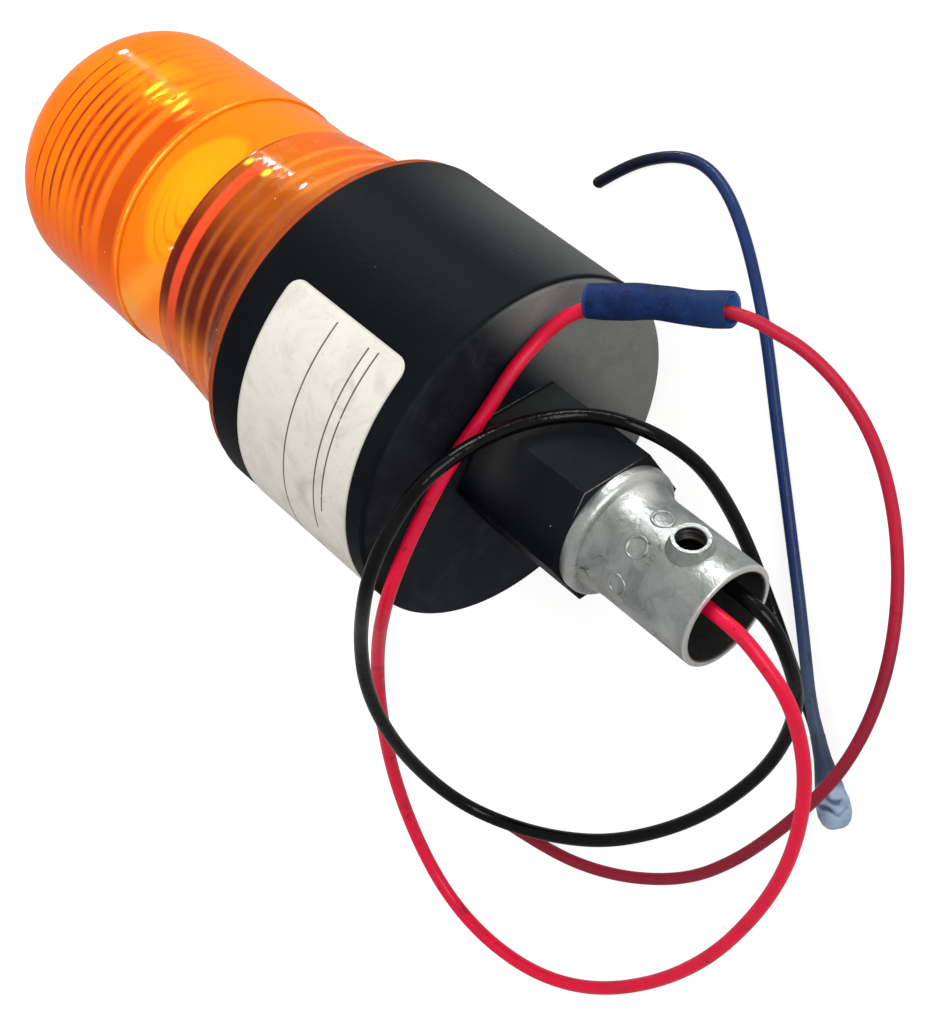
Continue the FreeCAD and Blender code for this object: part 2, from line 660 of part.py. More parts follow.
lens = new_body("lens")
shape = [
    ("rim_station + skirt_reach", "skirt_bore"),
    ("rim_station + skirt_reach", "skirt_radius"),
    ("flange_back", "skirt_radius"),
    ("flange_back", "flange_radius"),
    ("flange_front", "flange_radius"),
    ("flange_front - flange_ease", "flange_radius - flange_ease"),
    ("cove_station", "neck_radius", "cove_curve", -1),
    ("belt_start", "belt_radius + belt_step"),
    ("belt_start", "belt_radius"),
    ("belt_end", "belt_radius"),
    ("belt_end", "belt_radius + belt_step"),
    ("drum_station", "drum_radius"),
    ("shoulder_station", "shoulder_radius"),
    ("tip_station", "shoulder_radius - shoulder_curve", "shoulder_curve", 1),
    ("tip_station", "0"),
    ("tip_floor", "0"),
    ("tip_floor", "shoulder_radius - shoulder_curve"),
    # two shallow rings inside the tip's rounding
    ("tip_floor + shoulder_curve * 0.17", "shoulder_radius - shoulder_curve / 2"),
    ("tip_floor + shoulder_curve * 0.17 + tip_step / 2", "shoulder_radius - shoulder_curve / 2 - tip_step"),
    ("tip_floor + shoulder_curve * 0.46", "shoulder_bore - 2 * tip_step"),
    ("tip_floor + shoulder_curve * 0.46 + tip_step", "shoulder_bore - 3.5 * tip_step"),
    ("shoulder_station", "shoulder_bore"),
]
# seven rings in the drum: each is a short nose inwards and a long slope back to the wall
for k in range(7):
    step = "(drum_station - shoulder_station) / 7"
    here = "shoulder_station + %s * %d" % (step, k)
    shape.append((here + " + prism_nose", "shoulder_bore + drum_taper * %d / 7 - drum_prism_depth" % k))
    shape.append((here + " + " + step, "shoulder_bore + drum_taper * %d / 7" % (k + 1)))
shape.append(("belt_end", "drum_bore"))
shape.append(("belt_start", "drum_bore", "belt_bulge", 1))
# five rings below the belt, on a wall that widens to the skirt like the cove outside it
for k in range(1, 6):
    step = "(flange_back - cove_margin - belt_start) / 5"
    wall = "drum_bore + (skirt_bore - drum_bore) * %d / 25" % (k * k)
    shape.append(("belt_start + %s * %d - prism_nose" % (step, k), wall + " - prism_depth"))
    shape.append(("belt_start + %s * %d" % (step, k), wall))
turned(lens, shape, "Profile")
nodes.append(lens)

# ---------------------------------------------------------------- splice on the red lead
drawn_axis = 36.8  # height of the beacon's axis where the places below were drawn


def settled(points):
    """Lift places with the beacon's axis: fully at its height, not at all on the table."""
    rise = value("housing_radius") - drawn_axis
    low = 2 * value("main_lead")
    return [(x, y, z + rise * min(1.0, max(0.0, z - low) / (drawn_axis - low))) for x, y, z in points]


splice_start, splice_end = [V(*spot) for spot in settled([(44.8, 34.0, 46.0), (67.6, 45.7, 37.0)])]
splice_way = splice_end - splice_start
splice_length = splice_way.Length
splice_way.normalize()


def along_splice(distance):
    """A point on the splice sleeve's centreline, as a tuple."""
    return tuple(splice_start + splice_way * distance)


def splice_body(label, first, last, outer, inner=None):
    """A round piece on the splice sleeve's centreline between two distances."""
    body = doc.addObject("PartDesign::Body", label)
    body.Label = label
    body.Placement = FreeCAD.Placement(splice_start, FreeCAD.Rotation(V(1, 0, 0), splice_way))
    round_feature(body, "Additive", "Outside", first, last, outer)
    if inner:
        round_feature(body, "Subtractive", "Inside", first + " - 1", last + " + 1", inner)
    return body


sleeve_end = "%.4f" % splice_length
nodes.append(splice_body("splice_sleeve", "0", sleeve_end, "splice_radius", "splice_radius - splice_wall"))
nodes.append(splice_body("splice_barrel", "barrel_start", "barrel_start + barrel_length", "barrel_radius"))

# ---------------------------------------------------------------- closed-end cap on the table
cap_neck = V(105.0, -20.4, 3.3)
cap_way = V(12.9, -11.8, 0.2).normalize()
cap_stack = V(0.371, 0.357, 0.857)
cap_stack = (cap_stack - cap_way * cap_stack.dot(cap_way)).normalize()
cap_side = cap_way.cross(cap_stack)
cap_frame = FreeCAD.Rotation(cap_stack, cap_side, cap_way, "ZXY")
# rings from the neck to the closed end: share of the length, then half height and half width
# as shares of the cap's radius
CAP = [(0.0, 0.91, 0.53), (0.1, 0.91, 0.55), (0.25, 0.91, 0.61), (0.42, 0.925, 0.73), (0.58, 0.955, 0.865),
       (0.72, 1.0, 0.97), (0.84, 0.97, 0.97), (0.93, 0.82, 0.82), (0.98, 0.575, 0.575), (1.0, 0.335, 0.335)]
rings = []
for number, (part_way, tall, wide) in enumerate(CAP, 1):
    ring = doc.addObject("Part::Ellipse", "cap_ring_%d" % number)
    ring.MajorRadius = value("cap_radius * %s" % tall)
    ring.MinorRadius = value("cap_radius * %s" % wide)
    link(ring, "MajorRadius", "cap_radius * %s" % tall)
    link(ring, "MinorRadius", "cap_radius * %s" % wide)
    ring.Placement = FreeCAD.Placement(cap_neck + cap_way * (value("cap_length") * part_way), cap_frame)
    rings.append(ring)
cap = doc.addObject("Part::Loft", "splice_cap")
cap.Label = "splice_cap"
cap.Sections = rings
cap.Solid = True
cap.Ruled = False
nodes.append(cap)
black_end = cap_neck - cap_stack * value("main_lead + lead_spread")
blue_end = cap_neck + cap_stack * value("thin_lead + lead_spread")

# ---------------------------------------------------------------- leads
lead_start = value("socket_floor")
barrel_in = value("barrel_start")
barrel_out = value("barrel_start + barrel_length")
strip = value("strip_length")
RED = [(lead_start, 0.2, 39.3), (62.0, 0.2, 39.3), (80.5, 0.9, 41.4), (95.1, 1.6, 42.9), (100.8, 0.8, 41.3),
       (105.7, -1.5, 39.2), (110.5, -5.0, 35.6), (114.2, -10.9, 31.0), (117.6, -18.9, 26.6),
       (119.1, -29.4, 21.5), (118.6, -40.6, 16.5), (115.8, -53.4, 11.4), (110.5, -68.5, 6.9),
       (101.9, -82.6, 3.3), (90.6, -94.5, 1.6), (78.2, -101.4, 1.4), (64.4, -104.1, 1.4),
       (52.3, -102.1, 3.2), (42.7, -94.5, 8.5), (35.7, -81.38, 17.9), (33.39, -65.15, 29.8),
       (34.8, -49.09, 42.0), (43.38, -30.96, 58.8), (42.1, -20.0, 58.6), (41.9, -8.1, 58.2),
       (41.9, 1.0, 57.0), (41.8, 9.6, 54.2), (41.7, 17.5, 52.7), (41.4, 23.6, 49.3), (42.6, 28.2, 47.9),
       (44.1, 31.2, 46.8)]
EXTENSION = [(69.9, 45.4, 34.9), (72.9, 45.0, 32.4), (78.3, 44.5, 28.3), (85.8, 41.4, 23.4),
             (93.2, 35.6, 18.1), (100.2, 26.5, 13.3), (106.6, 15.3, 10.2), (111.9, 3.6, 9.4),
             (115.2, -7.7, 10.1), (116.1, -18.3, 11.3), (114.3, -27.9, 11.6), (109.7, -39.1, 8.0),
             (103.9, -50.6, 4.4), (96.7, -61.0, 1.8), (87.2, -69.0, 1.25), (76.9, -74.7, 1.25),
             (65.8, -78.4, 1.25), (54.0, -80.4, 1.25)]
BLACK = [(lead_start, 0.4, 34.9), (62.0, 0.4, 34.9), (80.5, 4.2, 35.6), (95.4, 3.9, 34.1),
         (99.8, 2.4, 32.0), (103.0, -1.6, 28.5), (104.9, -6.7, 23.5), (105.0, -11.4, 18.5),
         (104.4, -19.2, 13.3), (102.7, -28.2, 9.9), (99.0, -37.8, 7.5), (94.0, -47.4, 5.9),
         (87.1, -56.9, 5.2), (78.8, -65.5, 5.9), (69.0, -71.8, 7.2), (59.1, -75.8, 9.6),
         (51.08, -75.82, 15.9), (45.44, -71.0, 25.8), (42.75, -62.69, 37.8), (41.18, -52.39, 48.8),
         (41.32, -41.23, 57.4), (46.21, -27.99, 68.8), (46.24, -20.4, 71.1), (45.8, -12.3, 70.5),
         (46.5, -3.1, 69.4), (47.0, 3.4, 64.1), (47.4, 8.6, 56.0), (49.2, 12.7, 47.8), (53.4, 16.2, 41.6),
         (60.4, 18.4, 38.3), (65.4, 17.5, 31.0), (69.8, 14.7, 24.1), (73.9, 9.0, 16.4), (77.9, 2.5, 9.7),
         (82.6, -3.7, 5.4), (87.7, -8.9, 2.8), (92.6, -13.4, 1.8), (97.7, -16.8, 1.5)]
BLUE = [(3.9, 42.1, 1.25), (7.6, 47.1, 1.25), (12.6, 51.9, 1.25), (19.2, 55.8, 1.25), (25.9, 56.7, 1.25),
        (33.0, 54.3, 1.25), (40.7, 49.0, 1.25), (48.2, 42.2, 1.25), (55.6, 34.6, 1.25), (63.8, 24.9, 1.25),
        (71.8, 15.7, 1.25), (80.7, 5.4, 1.25), (88.1, -3.0, 1.4), (95.5, -10.6, 2.8)]
RED = settled(RED) + [along_splice(barrel_in - strip), along_splice(barrel_in)]
EXTENSION = [along_splice(barrel_out), along_splice(barrel_out + strip)] + settled(EXTENSION)
BLACK = settled(BLACK) + [tuple(black_end - cap_way * 3.4), tuple(black_end)]
BLUE = settled(BLUE) + [tuple(blue_end - cap_way * 6.0), tuple(blue_end)]
nodes.append(tube("red_lead", RED, "main_lead", None))
nodes.append(tube("red_extension", EXTENSION, "thin_lead", None))
nodes.append(tube("black_lead", BLACK, "main_lead", None))
nodes.append(tube("blue_lead", BLUE, "thin_lead", None))

# ---------------------------------------------------------------- checks and export
doc.recompute()
faults = []
for thing in doc.Objects:
    if "Invalid" in thing.State or "Error" in thing.State:
        faults.append("%s: %s" % (thing.Label, thing.State))
os.makedirs("parts", exist_ok=True)
for node in nodes:
    solid = node.Shape
    if solid.isNull() or not solid.isValid() or len(solid.Solids) != 1:
        faults.append("%s: shape %s" % (node.Label, "null" if solid.isNull() else len(solid.Solids)))
        continue
    box = solid.BoundBox
    print("%-20s X %7.2f %7.2f  Y %7.2f %7.2f  Z %7.2f %7.2f  volume %9.1f"
          % (node.Label, box.XMin, box.XMax, box.YMin, box.YMax, box.ZMin, box.ZMax, solid.Volume))
if faults:
    raise RuntimeError("; ".join(faults))
for node in nodes:
    node.Shape.exportStep("parts/%s.step" % node.Label)
print(len(nodes), "nodes written")
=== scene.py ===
import bmesh
import bpy
import math
import numpy as np
from mathutils import Matrix, Vector


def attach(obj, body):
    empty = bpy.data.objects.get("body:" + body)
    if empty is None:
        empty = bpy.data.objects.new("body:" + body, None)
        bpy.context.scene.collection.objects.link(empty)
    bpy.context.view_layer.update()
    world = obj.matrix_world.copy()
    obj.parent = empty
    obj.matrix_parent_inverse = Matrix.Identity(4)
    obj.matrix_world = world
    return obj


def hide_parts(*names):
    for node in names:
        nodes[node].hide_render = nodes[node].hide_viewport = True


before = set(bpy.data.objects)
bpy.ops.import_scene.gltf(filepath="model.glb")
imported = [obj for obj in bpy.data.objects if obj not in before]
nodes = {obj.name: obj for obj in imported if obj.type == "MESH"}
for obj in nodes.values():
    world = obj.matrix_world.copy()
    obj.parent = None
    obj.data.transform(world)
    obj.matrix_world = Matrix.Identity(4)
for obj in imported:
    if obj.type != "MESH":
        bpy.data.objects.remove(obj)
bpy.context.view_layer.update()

# sizes in metres; a station is a place along the beacon's axis
MM = 0.001
AXIS = 0.0368          # height of the beacon's axis above the table
END_FACE = 0.0398      # station of the cup's end face
BOSS_FACE = 0.0658     # station of the hexagonal boss's end
CORNER = 0.01549       # from the axis to the hexagon's corners
CUP_ARC = 0.00064      # length of one degree round the cup
SLEEVE_ARC = 0.000185  # length of one degree round the connector's sleeve

# the rest is in millimetres; a bearing is in degrees round the axis, from the top toward +Y
SLEEVE_RADIUS = 10.6   # connector's sleeve
HOLE_STATION = 84.6    # the set screw's hole: its station, bearing and radius
HOLE_BEARING = 55.0
HOLE_RADIUS = 2.86
THREAD_START = 9.8     # from the axis to the first turn of the hole's thread
THREAD_PITCH = 1.05
THREAD_TURNS = 2.6
PRISM_PITCH = 3.0      # rings of the lens's drum
COVE_PITCH = 4.4       # rings of the lens's cove
THICK = 1.35           # radius of the beacon's own leads
THIN = 1.2             # radius of the extension and the blue lead
STRAND_RADIUS = 0.17   # bare strands of a cut end, and how far apart they lie
STRAND_PITCH = 0.37
# printed rules of the label: station in metres, first and last bearing
RULES = [(0.0167, -86.0, 18.8), (0.0256, -44.0, 18.6), (0.0280, -34.0, 19.2)]
# the splice sleeve: where it starts, which way it runs, its length, radius and wall, and how much
# longer it is on one side of its open end than on the other
SPLICE_START = np.array((44.8, 34.0, 46.0))
SPLICE_WAY = np.array((0.83943, 0.43076, -0.33136))
SPLICE_LENGTH = 27.16
SPLICE_RADIUS = 3.2
SPLICE_WALL = 0.6
SPLICE_SLANT = 1.7
# the closed-end cap: the middle of its neck, its length, its bulb's radius and three directions
CAP_NECK = np.array((105.0, -20.4, 3.3))
CAP_LENGTH = 17.5
CAP_RADIUS = 3.3
CAP_WAY = np.array((0.7378, -0.6749, 0.0114))
CAP_STACK = np.array((0.3400, 0.3862, 0.8575))
CAP_SIDE = np.cross(CAP_WAY, CAP_STACK)
# the cap's creases: share of the length and degrees from the stack at both ends, depth, width
CREASES = [(0.69, 80.0, 0.85, -10.0, 0.60, 0.032), (0.68, 30.0, 0.76, -50.0, 0.56, 0.030),
           (0.59, 70.0, 0.665, 0.0, 0.42, 0.030), (0.86, -2.0, 0.80, -70.0, 0.26, 0.024),
           (0.66, -60.0, 0.58, -110.0, 0.26, 0.028), (0.74, 120.0, 0.66, 175.0, 0.30, 0.028),
           (0.52, 100.0, 0.60, 150.0, 0.22, 0.026), (0.80, -100.0, 0.88, -150.0, 0.22, 0.024),
           (0.48, 40.0, 0.53, -40.0, 0.16, 0.034)]
# the connector's raised rings: station, bearing and radius
RINGS = [(77.0, 59.5, 1.95), (77.5, 20.6, 2.0), (77.4, -23.6, 1.95)]

# ------------------------------------------------------------------ camera
RIGHT = Vector((0.64952, 0.41523, -0.63695))
DOWN = Vector((0.53863, -0.84255, 0.0))
AHEAD = Vector((-0.53666, -0.34308, -0.77091))
STAND = Vector((0.2579, 0.1262, 0.3565))

camera = bpy.data.objects.new("camera", bpy.data.cameras.new("camera"))
camera.data.sensor_fit = "VERTICAL"
camera.data.sensor_height = 24.0
camera.data.lens = 51.368
camera.data.clip_start = 0.01
camera.data.clip_end = 20.0
camera.matrix_world = Matrix((
    (RIGHT.x, -DOWN.x, -AHEAD.x, STAND.x),
    (RIGHT.y, -DOWN.y, -AHEAD.y, STAND.y),
    (RIGHT.z, -DOWN.z, -AHEAD.z, STAND.z),
    (0.0, 0.0, 0.0, 1.0)))
bpy.context.collection.objects.link(camera)
bpy.context.scene.camera = camera


# ------------------------------------------------------------------ shader maths
def plug(tree, item, socket):
    """Joins a Val, a socket or a constant to an input."""
    if isinstance(item, Val):
        item = item.source
    if isinstance(item, bpy.types.NodeSocket):
        tree.links.new(item, socket)
    elif isinstance(item, tuple) and len(item) == 3 and socket.type == "RGBA":
        socket.default_value = item + (1.0,)
    else:
        socket.default_value = item


def shader_node(tree, kind, settings=None, sockets=None):
    """A node of one kind: its settings first, then the values or links of its sockets."""
    node = tree.nodes.new("ShaderNode" + kind)
    for name, item in (settings or {}).items():
        setattr(node, name, item)
    for name, item in (sockets or {}).items():
        plug(tree, item, node.inputs[name])
    return node


class Val:
    """A socket or number in a material, with arithmetic that adds math nodes."""

    def __init__(self, tree, source):
        self.tree = tree
        self.source = source

    def maths(self, operation, *others, **settings):
        """One math node on this value and the others."""
        sockets = dict(enumerate((self,) + others))
        node = shader_node(self.tree, "Math", dict(settings, operation=operation), sockets)
        return Val(self.tree, node.outputs[0])

    def __add__(self, o):
        return self.maths("ADD", o)

    __radd__ = __add__

    def __sub__(self, o):
        return self.maths("SUBTRACT", o)

    def __rsub__(self, o):
        return Val(self.tree, o).maths("SUBTRACT", self)

    def __mul__(self, o):
        return self.maths("MULTIPLY", o)

    __rmul__ = __mul__

    def __truediv__(self, o):
        return self.maths("DIVIDE", o)

    def __gt__(self, o):
        return self.maths("GREATER_THAN", o)

    def __lt__(self, o):
        return self.maths("LESS_THAN", o)

    def __pow__(self, o):
        return self.maths("POWER", o)

    def sin(self):
        return self.maths("SINE")

    def abs(self):
        return self.maths("ABSOLUTE")

    def sqrt(self):
        return self.maths("SQRT")

    def atan2(self, o):
        return self.maths("ARCTAN2", o)

    def wave(self, period):
        """Distance along a repeating step of that length, from 0 to 1."""
        return (self / period).maths("FRACT")

    def clamp(self):
        return self.maths("ADD", 0.0, use_clamp=True)

    def ramp(self, low, high):
        """0 at low, 1 at high, smooth between, whichever is the greater."""
        node = shader_node(self.tree, "MapRange", {"interpolation_type": "SMOOTHSTEP"},
                           {"Value": self, "From Min": low, "From Max": high})
        return Val(self.tree, node.outputs["Result"])

    def bell(self, middle, width):
        """1 at the middle, falling smoothly to 0 a width away."""
        return 1.0 - (self - middle).abs().ramp(0.0, width)


class Stuff:
    """One procedural material and the coordinates its patterns use."""

    def __init__(self, name):
        self.material = bpy.data.materials.new(name)
        self.material.use_nodes = True
        self.tree = self.material.node_tree
        self.skin = self.tree.nodes["Principled BSDF"]
        self.place = shader_node(self.tree, "TexCoord").outputs["Object"]
        parts = shader_node(self.tree, "SeparateXYZ", None, {0: self.place})
        self.x, self.y, self.z = (Val(self.tree, parts.outputs[k]) for k in range(3))

    def across(self):
        """Distance from the beacon's axis."""
        h = self.z - AXIS
        return (self.y * self.y + h * h).sqrt()

    def turn(self):
        """Bearing: degrees round the axis, from the top toward +Y."""
        return self.y.atan2(self.z - AXIS) * (180.0 / math.pi)

    def past(self, start, way):
        """Distance past a start, given in millimetres, in a direction."""
        x, y, z = start * MM
        return (self.x - x) * way[0] + (self.y - y) * way[1] + (self.z - z) * way[2]

    def off_line(self, start, way):
        """Distance from the line through a start, given in millimetres, in a direction."""
        reach = self.past(start, way)
        x, y, z = (place - near - step * reach
                   for place, near, step in zip((self.x, self.y, self.z), start * MM, way))
        return (x ** 2.0 + y ** 2.0 + z ** 2.0).sqrt()

    def noise(self, scale, detail=3.0, rough=0.55, stretch=None, distort=0.0):
        """Noise from 0 to 1 with `scale` features to the metre."""
        place = self.place
        if stretch:
            place = shader_node(self.tree, "Mapping", None, {"Scale": stretch, "Vector": place}).outputs[0]
        node = shader_node(self.tree, "TexNoise", None, {
            "Scale": scale, "Detail": detail, "Roughness": rough, "Distortion": distort, "Vector": place})
        return Val(self.tree, node.outputs[0])

    def cells(self, scale):
        """Distance to the nearest of scattered points, `scale` to the metre."""
        node = shader_node(self.tree, "TexVoronoi", None, {"Scale": scale, "Vector": self.place})
        return Val(self.tree, node.outputs["Distance"])

    def mix(self, factor, a, b):
        """Colour a where the factor is 0 and b where it is 1."""
        node = shader_node(self.tree, "Mix", {"data_type": "RGBA"}, {0: factor, 6: a, 7: b})
        return Val(self.tree, node.outputs[2])

    def blend(self, factor, a, b):
        """Number a where the factor is 0 and b where it is 1."""
        return factor * (b - a) + a

    def set(self, **values):
        """Inputs of the surface by name, spaces written as underscores."""
        for name, item in values.items():
            plug(self.tree, item, self.skin.inputs[name.replace("_", " ")])
        return self

    def bump(self, height, distance):
        """Relief of that many metres where the height is 1."""
        node = shader_node(self.tree, "Bump", None, {"Distance": distance, "Height": height})
        self.tree.links.new(node.outputs[0], self.skin.inputs["Normal"])
        return self


def dress(node, stuff):
    """Gives a node of the frame a material."""
    mesh = nodes[node].data
    mesh.materials.clear()
    mesh.materials.append(stuff.material)


# ------------------------------------------------------------------ materials
def insulation(name, colour, worn, roughness, smudge, gloss, aged=None, dark_end=None, lit_raised=None):
    """Soft PVC: a clean colour with worn patches, grey smudges and faint ripples.

    aged is the colour that the lead turns to near the splice cap, dark_end toward its free end, and
    the last, a brighter red, paints the light on the part that stands clear of the table past the
    splice sleeve.
    """
    m = Stuff(name)
    patches = m.noise(75.0, 4.0, 0.6).ramp(0.52, 0.70)
    grime = m.noise(240.0, 4.0, 0.65, distort=0.7).ramp(0.60, 0.74)
    nicks = m.cells(190.0).ramp(0.060, 0.035)
    tone = m.mix(patches * 0.6, colour, worn)
    if aged:
        tone = m.mix(m.x.ramp(0.080, 0.102), tone, aged)
        tone = m.mix(m.x.ramp(0.034, 0.010), tone, dark_end)
    # painted light: a brighter red where the lead stands clear of the table
    if lit_raised:
        tone = m.mix(m.y.ramp(-0.008, 0.026), tone, lit_raised)
    tone = m.mix(grime * smudge, tone, tuple(c * 0.25 + 0.006 for c in worn))
    tone = m.mix(nicks * smudge * 0.8, tone, (0.012, 0.008, 0.010))
    m.set(Base_Color=tone, Roughness=m.blend(patches, roughness, roughness + 0.16))
    m.set(Specular_IOR_Level=gloss)
    return m.bump(m.noise(420.0, 3.0) + m.noise(1500.0, 2.0) * 0.3, 0.00014)


def moulded_black():
    """Dull phenolic black: fine grain, dusty veils and the top facet paler toward the foot; painted light
    greys the end face toward +Y, puts a sheen near the side's upper silhouette and highlights the
    hexagon's upper edges and corners.
    """
    m = Stuff("black_moulding")
    across = m.across()
    veil = m.noise(38.0, 5.0, 0.62, distort=0.6).ramp(0.45, 0.8)
    grain = m.noise(2400.0, 2.0, 0.7)
    coarse = m.noise(700.0, 4.0, 0.7)
    specks = m.cells(300.0).ramp(0.060, 0.030) * m.noise(60.0).ramp(0.50, 0.62)
    end = m.x.ramp(END_FACE - 0.0004, END_FACE) * m.x.ramp(END_FACE + 0.0006, END_FACE + 0.0002)
    end = end * across.ramp(0.0125, 0.0145)
    # painted reflection: the end face greyed toward +Y, the side the light comes from
    end_reflection = end * (m.y - (m.z - 0.020) * 0.45).ramp(0.002, 0.019)
    scuff = end * m.noise(120.0, 5.0, 0.65, distort=0.8).ramp(0.45, 0.75)
    # painted sheen: the side paler near its upper silhouette
    sheen = m.turn().bell(104.0, 48.0) * m.x.ramp(END_FACE - 0.0006, END_FACE - 0.0018)
    sheen = sheen * m.x.ramp(-0.020, 0.018)
    hexagon = m.x.ramp(END_FACE + 0.0004, END_FACE + 0.0014)
    above = m.y * 0.9 + m.z - AXIS
    face = hexagon * above.ramp(0.006, 0.014)
    # painted highlights: fine pale lines along the hexagon's upper edges and, fainter, along its corners
    upper = above.ramp(0.0150, 0.0172) * across.ramp(CORNER + 0.00091, CORNER + 0.00051)
    edge = m.x.bell(END_FACE + 0.00025, 0.00020) + m.x.bell(BOSS_FACE - 0.00015, 0.00016)
    edge = edge * upper * coarse.ramp(0.30, 0.55)
    corner = hexagon * across.ramp(CORNER - 0.00014, CORNER) * coarse.ramp(0.45, 0.70)
    # the hexagon's top facet paler toward the foot
    paler_top_facet = face * (m.x.ramp(0.056, 0.043) * 0.6 + 0.15) * (0.55 + veil * 0.4)
    base = m.mix(veil * 0.6, (0.0034, 0.0042, 0.0054), (0.0088, 0.0104, 0.0120))
    base = m.mix(sheen * (0.45 + grain * 0.4), base, (0.115, 0.121, 0.122))
    base = m.mix(hexagon * 0.75, base, (0.0014, 0.0020, 0.0040))
    base = m.mix(paler_top_facet, base, (0.062, 0.067, 0.068))
    base = m.mix(end * (0.35 + veil * 0.5), base, (0.0150, 0.0185, 0.0250))
    base = m.mix(end_reflection * (0.62 + grain * 0.5).clamp(), base, (0.195, 0.203, 0.196))
    base = m.mix(scuff * 0.25, base, (0.050, 0.054, 0.058))
    base = m.mix((corner * 0.06 + edge * 0.55).clamp(), base, (0.300, 0.300, 0.290))
    base = m.mix(specks * (hexagon * 0.8 + 0.15), base, (0.300, 0.300, 0.290))
    m.set(Base_Color=base, Roughness=m.blend(veil, 0.48, 0.66), Specular_IOR_Level=0.065)
    return m.bump(grain * 0.6 + coarse * 0.6, 0.00007)


def label_film():
    """Off-white film with stains, a greyed edge and three thin printed rules."""
    m = Stuff("label_film")
    turn = m.turn()
    stain = m.noise(85.0, 5.0, 0.62, distort=1.4).ramp(0.42, 0.76)
    fine = m.noise(700.0, 4.0, 0.7).ramp(0.54, 0.76)
    rubbed = m.noise(150.0, 3.0, 0.6, stretch=(1.0, 0.35, 0.35)).ramp(0.60, 0.74)
    ring = ((m.x - 0.0262) ** 2.0 + ((turn - 4.0) * CUP_ARC) ** 2.0).sqrt()
    cup_mark = ring.bell(0.0026, 0.0008)
    spots = m.cells(210.0).ramp(0.045, 0.020)
    paper = m.mix(stain * 0.60, (0.585, 0.572, 0.512), (0.400, 0.380, 0.318))
    paper = m.mix(fine * 0.30, paper, (0.270, 0.250, 0.205))
    paper = m.mix(rubbed * 0.25, paper, (0.230, 0.215, 0.185))
    paper = m.mix(cup_mark * 0.15, paper, (0.240, 0.190, 0.120))
    paper = m.mix(spots * 0.55, paper, (0.120, 0.100, 0.080))
    rim = m.x.ramp(0.0031, 0.0026) + m.x.ramp(0.0343, 0.0348) + turn.ramp(21.4, 22.1)
    paper = m.mix(rim.clamp() * 0.5, paper, (0.300, 0.290, 0.260))
    ink = Val(m.tree, 0.0)
    worn = m.noise(900.0, 2.0, 0.6).ramp(0.22, 0.36)
    for station, low, high in RULES:
        line = (m.x - station).abs().ramp(0.00026, 0.00011)
        ink = ink + line * (turn > low) * (turn < high)
    m.set(Base_Color=m.mix(ink.clamp() * worn * 0.9, paper, (0.035, 0.030, 0.028)), Roughness=0.46)
    m.set(Specular_IOR_Level=0.25)
    return m.bump(m.noise(420.0, 3.0), 0.00005)


def cast_zinc():
    """Die-cast zinc, dull and greenish: clouded sleeve, stains below the screw hole, bright worn rims,
    a painted highlight on the flare's top and painted shade inside the bore and the screw hole.
    """
    m = Stuff("cast_zinc")
    turn = m.turn()
    cloud = m.noise(150.0, 5.0, 0.65, distort=0.8)
    flow = m.noise(260.0, 4.0, 0.6, stretch=(0.35, 1.0, 1.0), distort=0.5)
    stain = m.noise(420.0, 5.0, 0.72, distort=1.2).ramp(0.53, 0.68)
    below = m.x.bell(0.0815, 0.0060) * turn.bell(24.0, 22.0)
    foot = m.x.bell(0.0705, 0.0040) * turn.bell(-25.0, 35.0)
    mouth = m.x.bell(0.0905, 0.0045) * turn.bell(-28.0, 30.0)
    across = m.across()
    inside = across.ramp(0.0098, 0.0093)
    from_hole = ((m.x - HOLE_STATION * MM) ** 2.0 + ((turn - HOLE_BEARING) * SLEEVE_ARC) ** 2.0).sqrt()
    bore = across.ramp(0.0128, 0.0120) * from_hole.ramp(0.00305, 0.00280)
    rim = m.x.ramp(0.0935, 0.0941) * across.ramp(0.0090, 0.0096)
    lip = across.ramp(0.0120, 0.0131)
    metal = m.mix(cloud.ramp(0.35, 0.68), (0.330, 0.360, 0.345), (0.520, 0.550, 0.530))
    metal = m.mix(flow.ramp(0.55, 0.72) * 0.35, metal, (0.680, 0.700, 0.680))
    metal = m.mix((stain * 0.55 + (below + foot) * stain * 0.9).clamp(), metal, (0.085, 0.088, 0.075))
    metal = m.mix(below * 0.45 * cloud.ramp(0.30, 0.60), metal, (0.150, 0.155, 0.140))
    # painted highlight on the flare's top, mixed with a paler patch at the mouth
    bright = m.x.bell(0.0700, 0.0045) * turn.bell(66.0, 40.0)
    metal = m.mix((mouth * 0.4 + bright).clamp(), metal, (0.900, 0.910, 0.890))
    metal = m.mix((rim + lip * 0.4).clamp() * 0.8, metal, (0.860, 0.870, 0.850))
    # painted shade: the bore's inside and the set screw's hole darkened almost to black
    metal = m.mix(inside * 0.92, metal, (0.014, 0.014, 0.014))
    metal = m.mix(bore * 0.90, metal, (0.020, 0.020, 0.020))
    dull = (stain * 0.5 + inside * 0.6 + below * 0.2).clamp()
    m.set(Base_Color=metal, Metallic=m.blend(dull, 0.82, 0.40), Roughness=m.blend(dull, 0.36, 0.58))
    return m.bump(cloud + m.noise(900.0, 4.0) * 0.6, 0.00016)


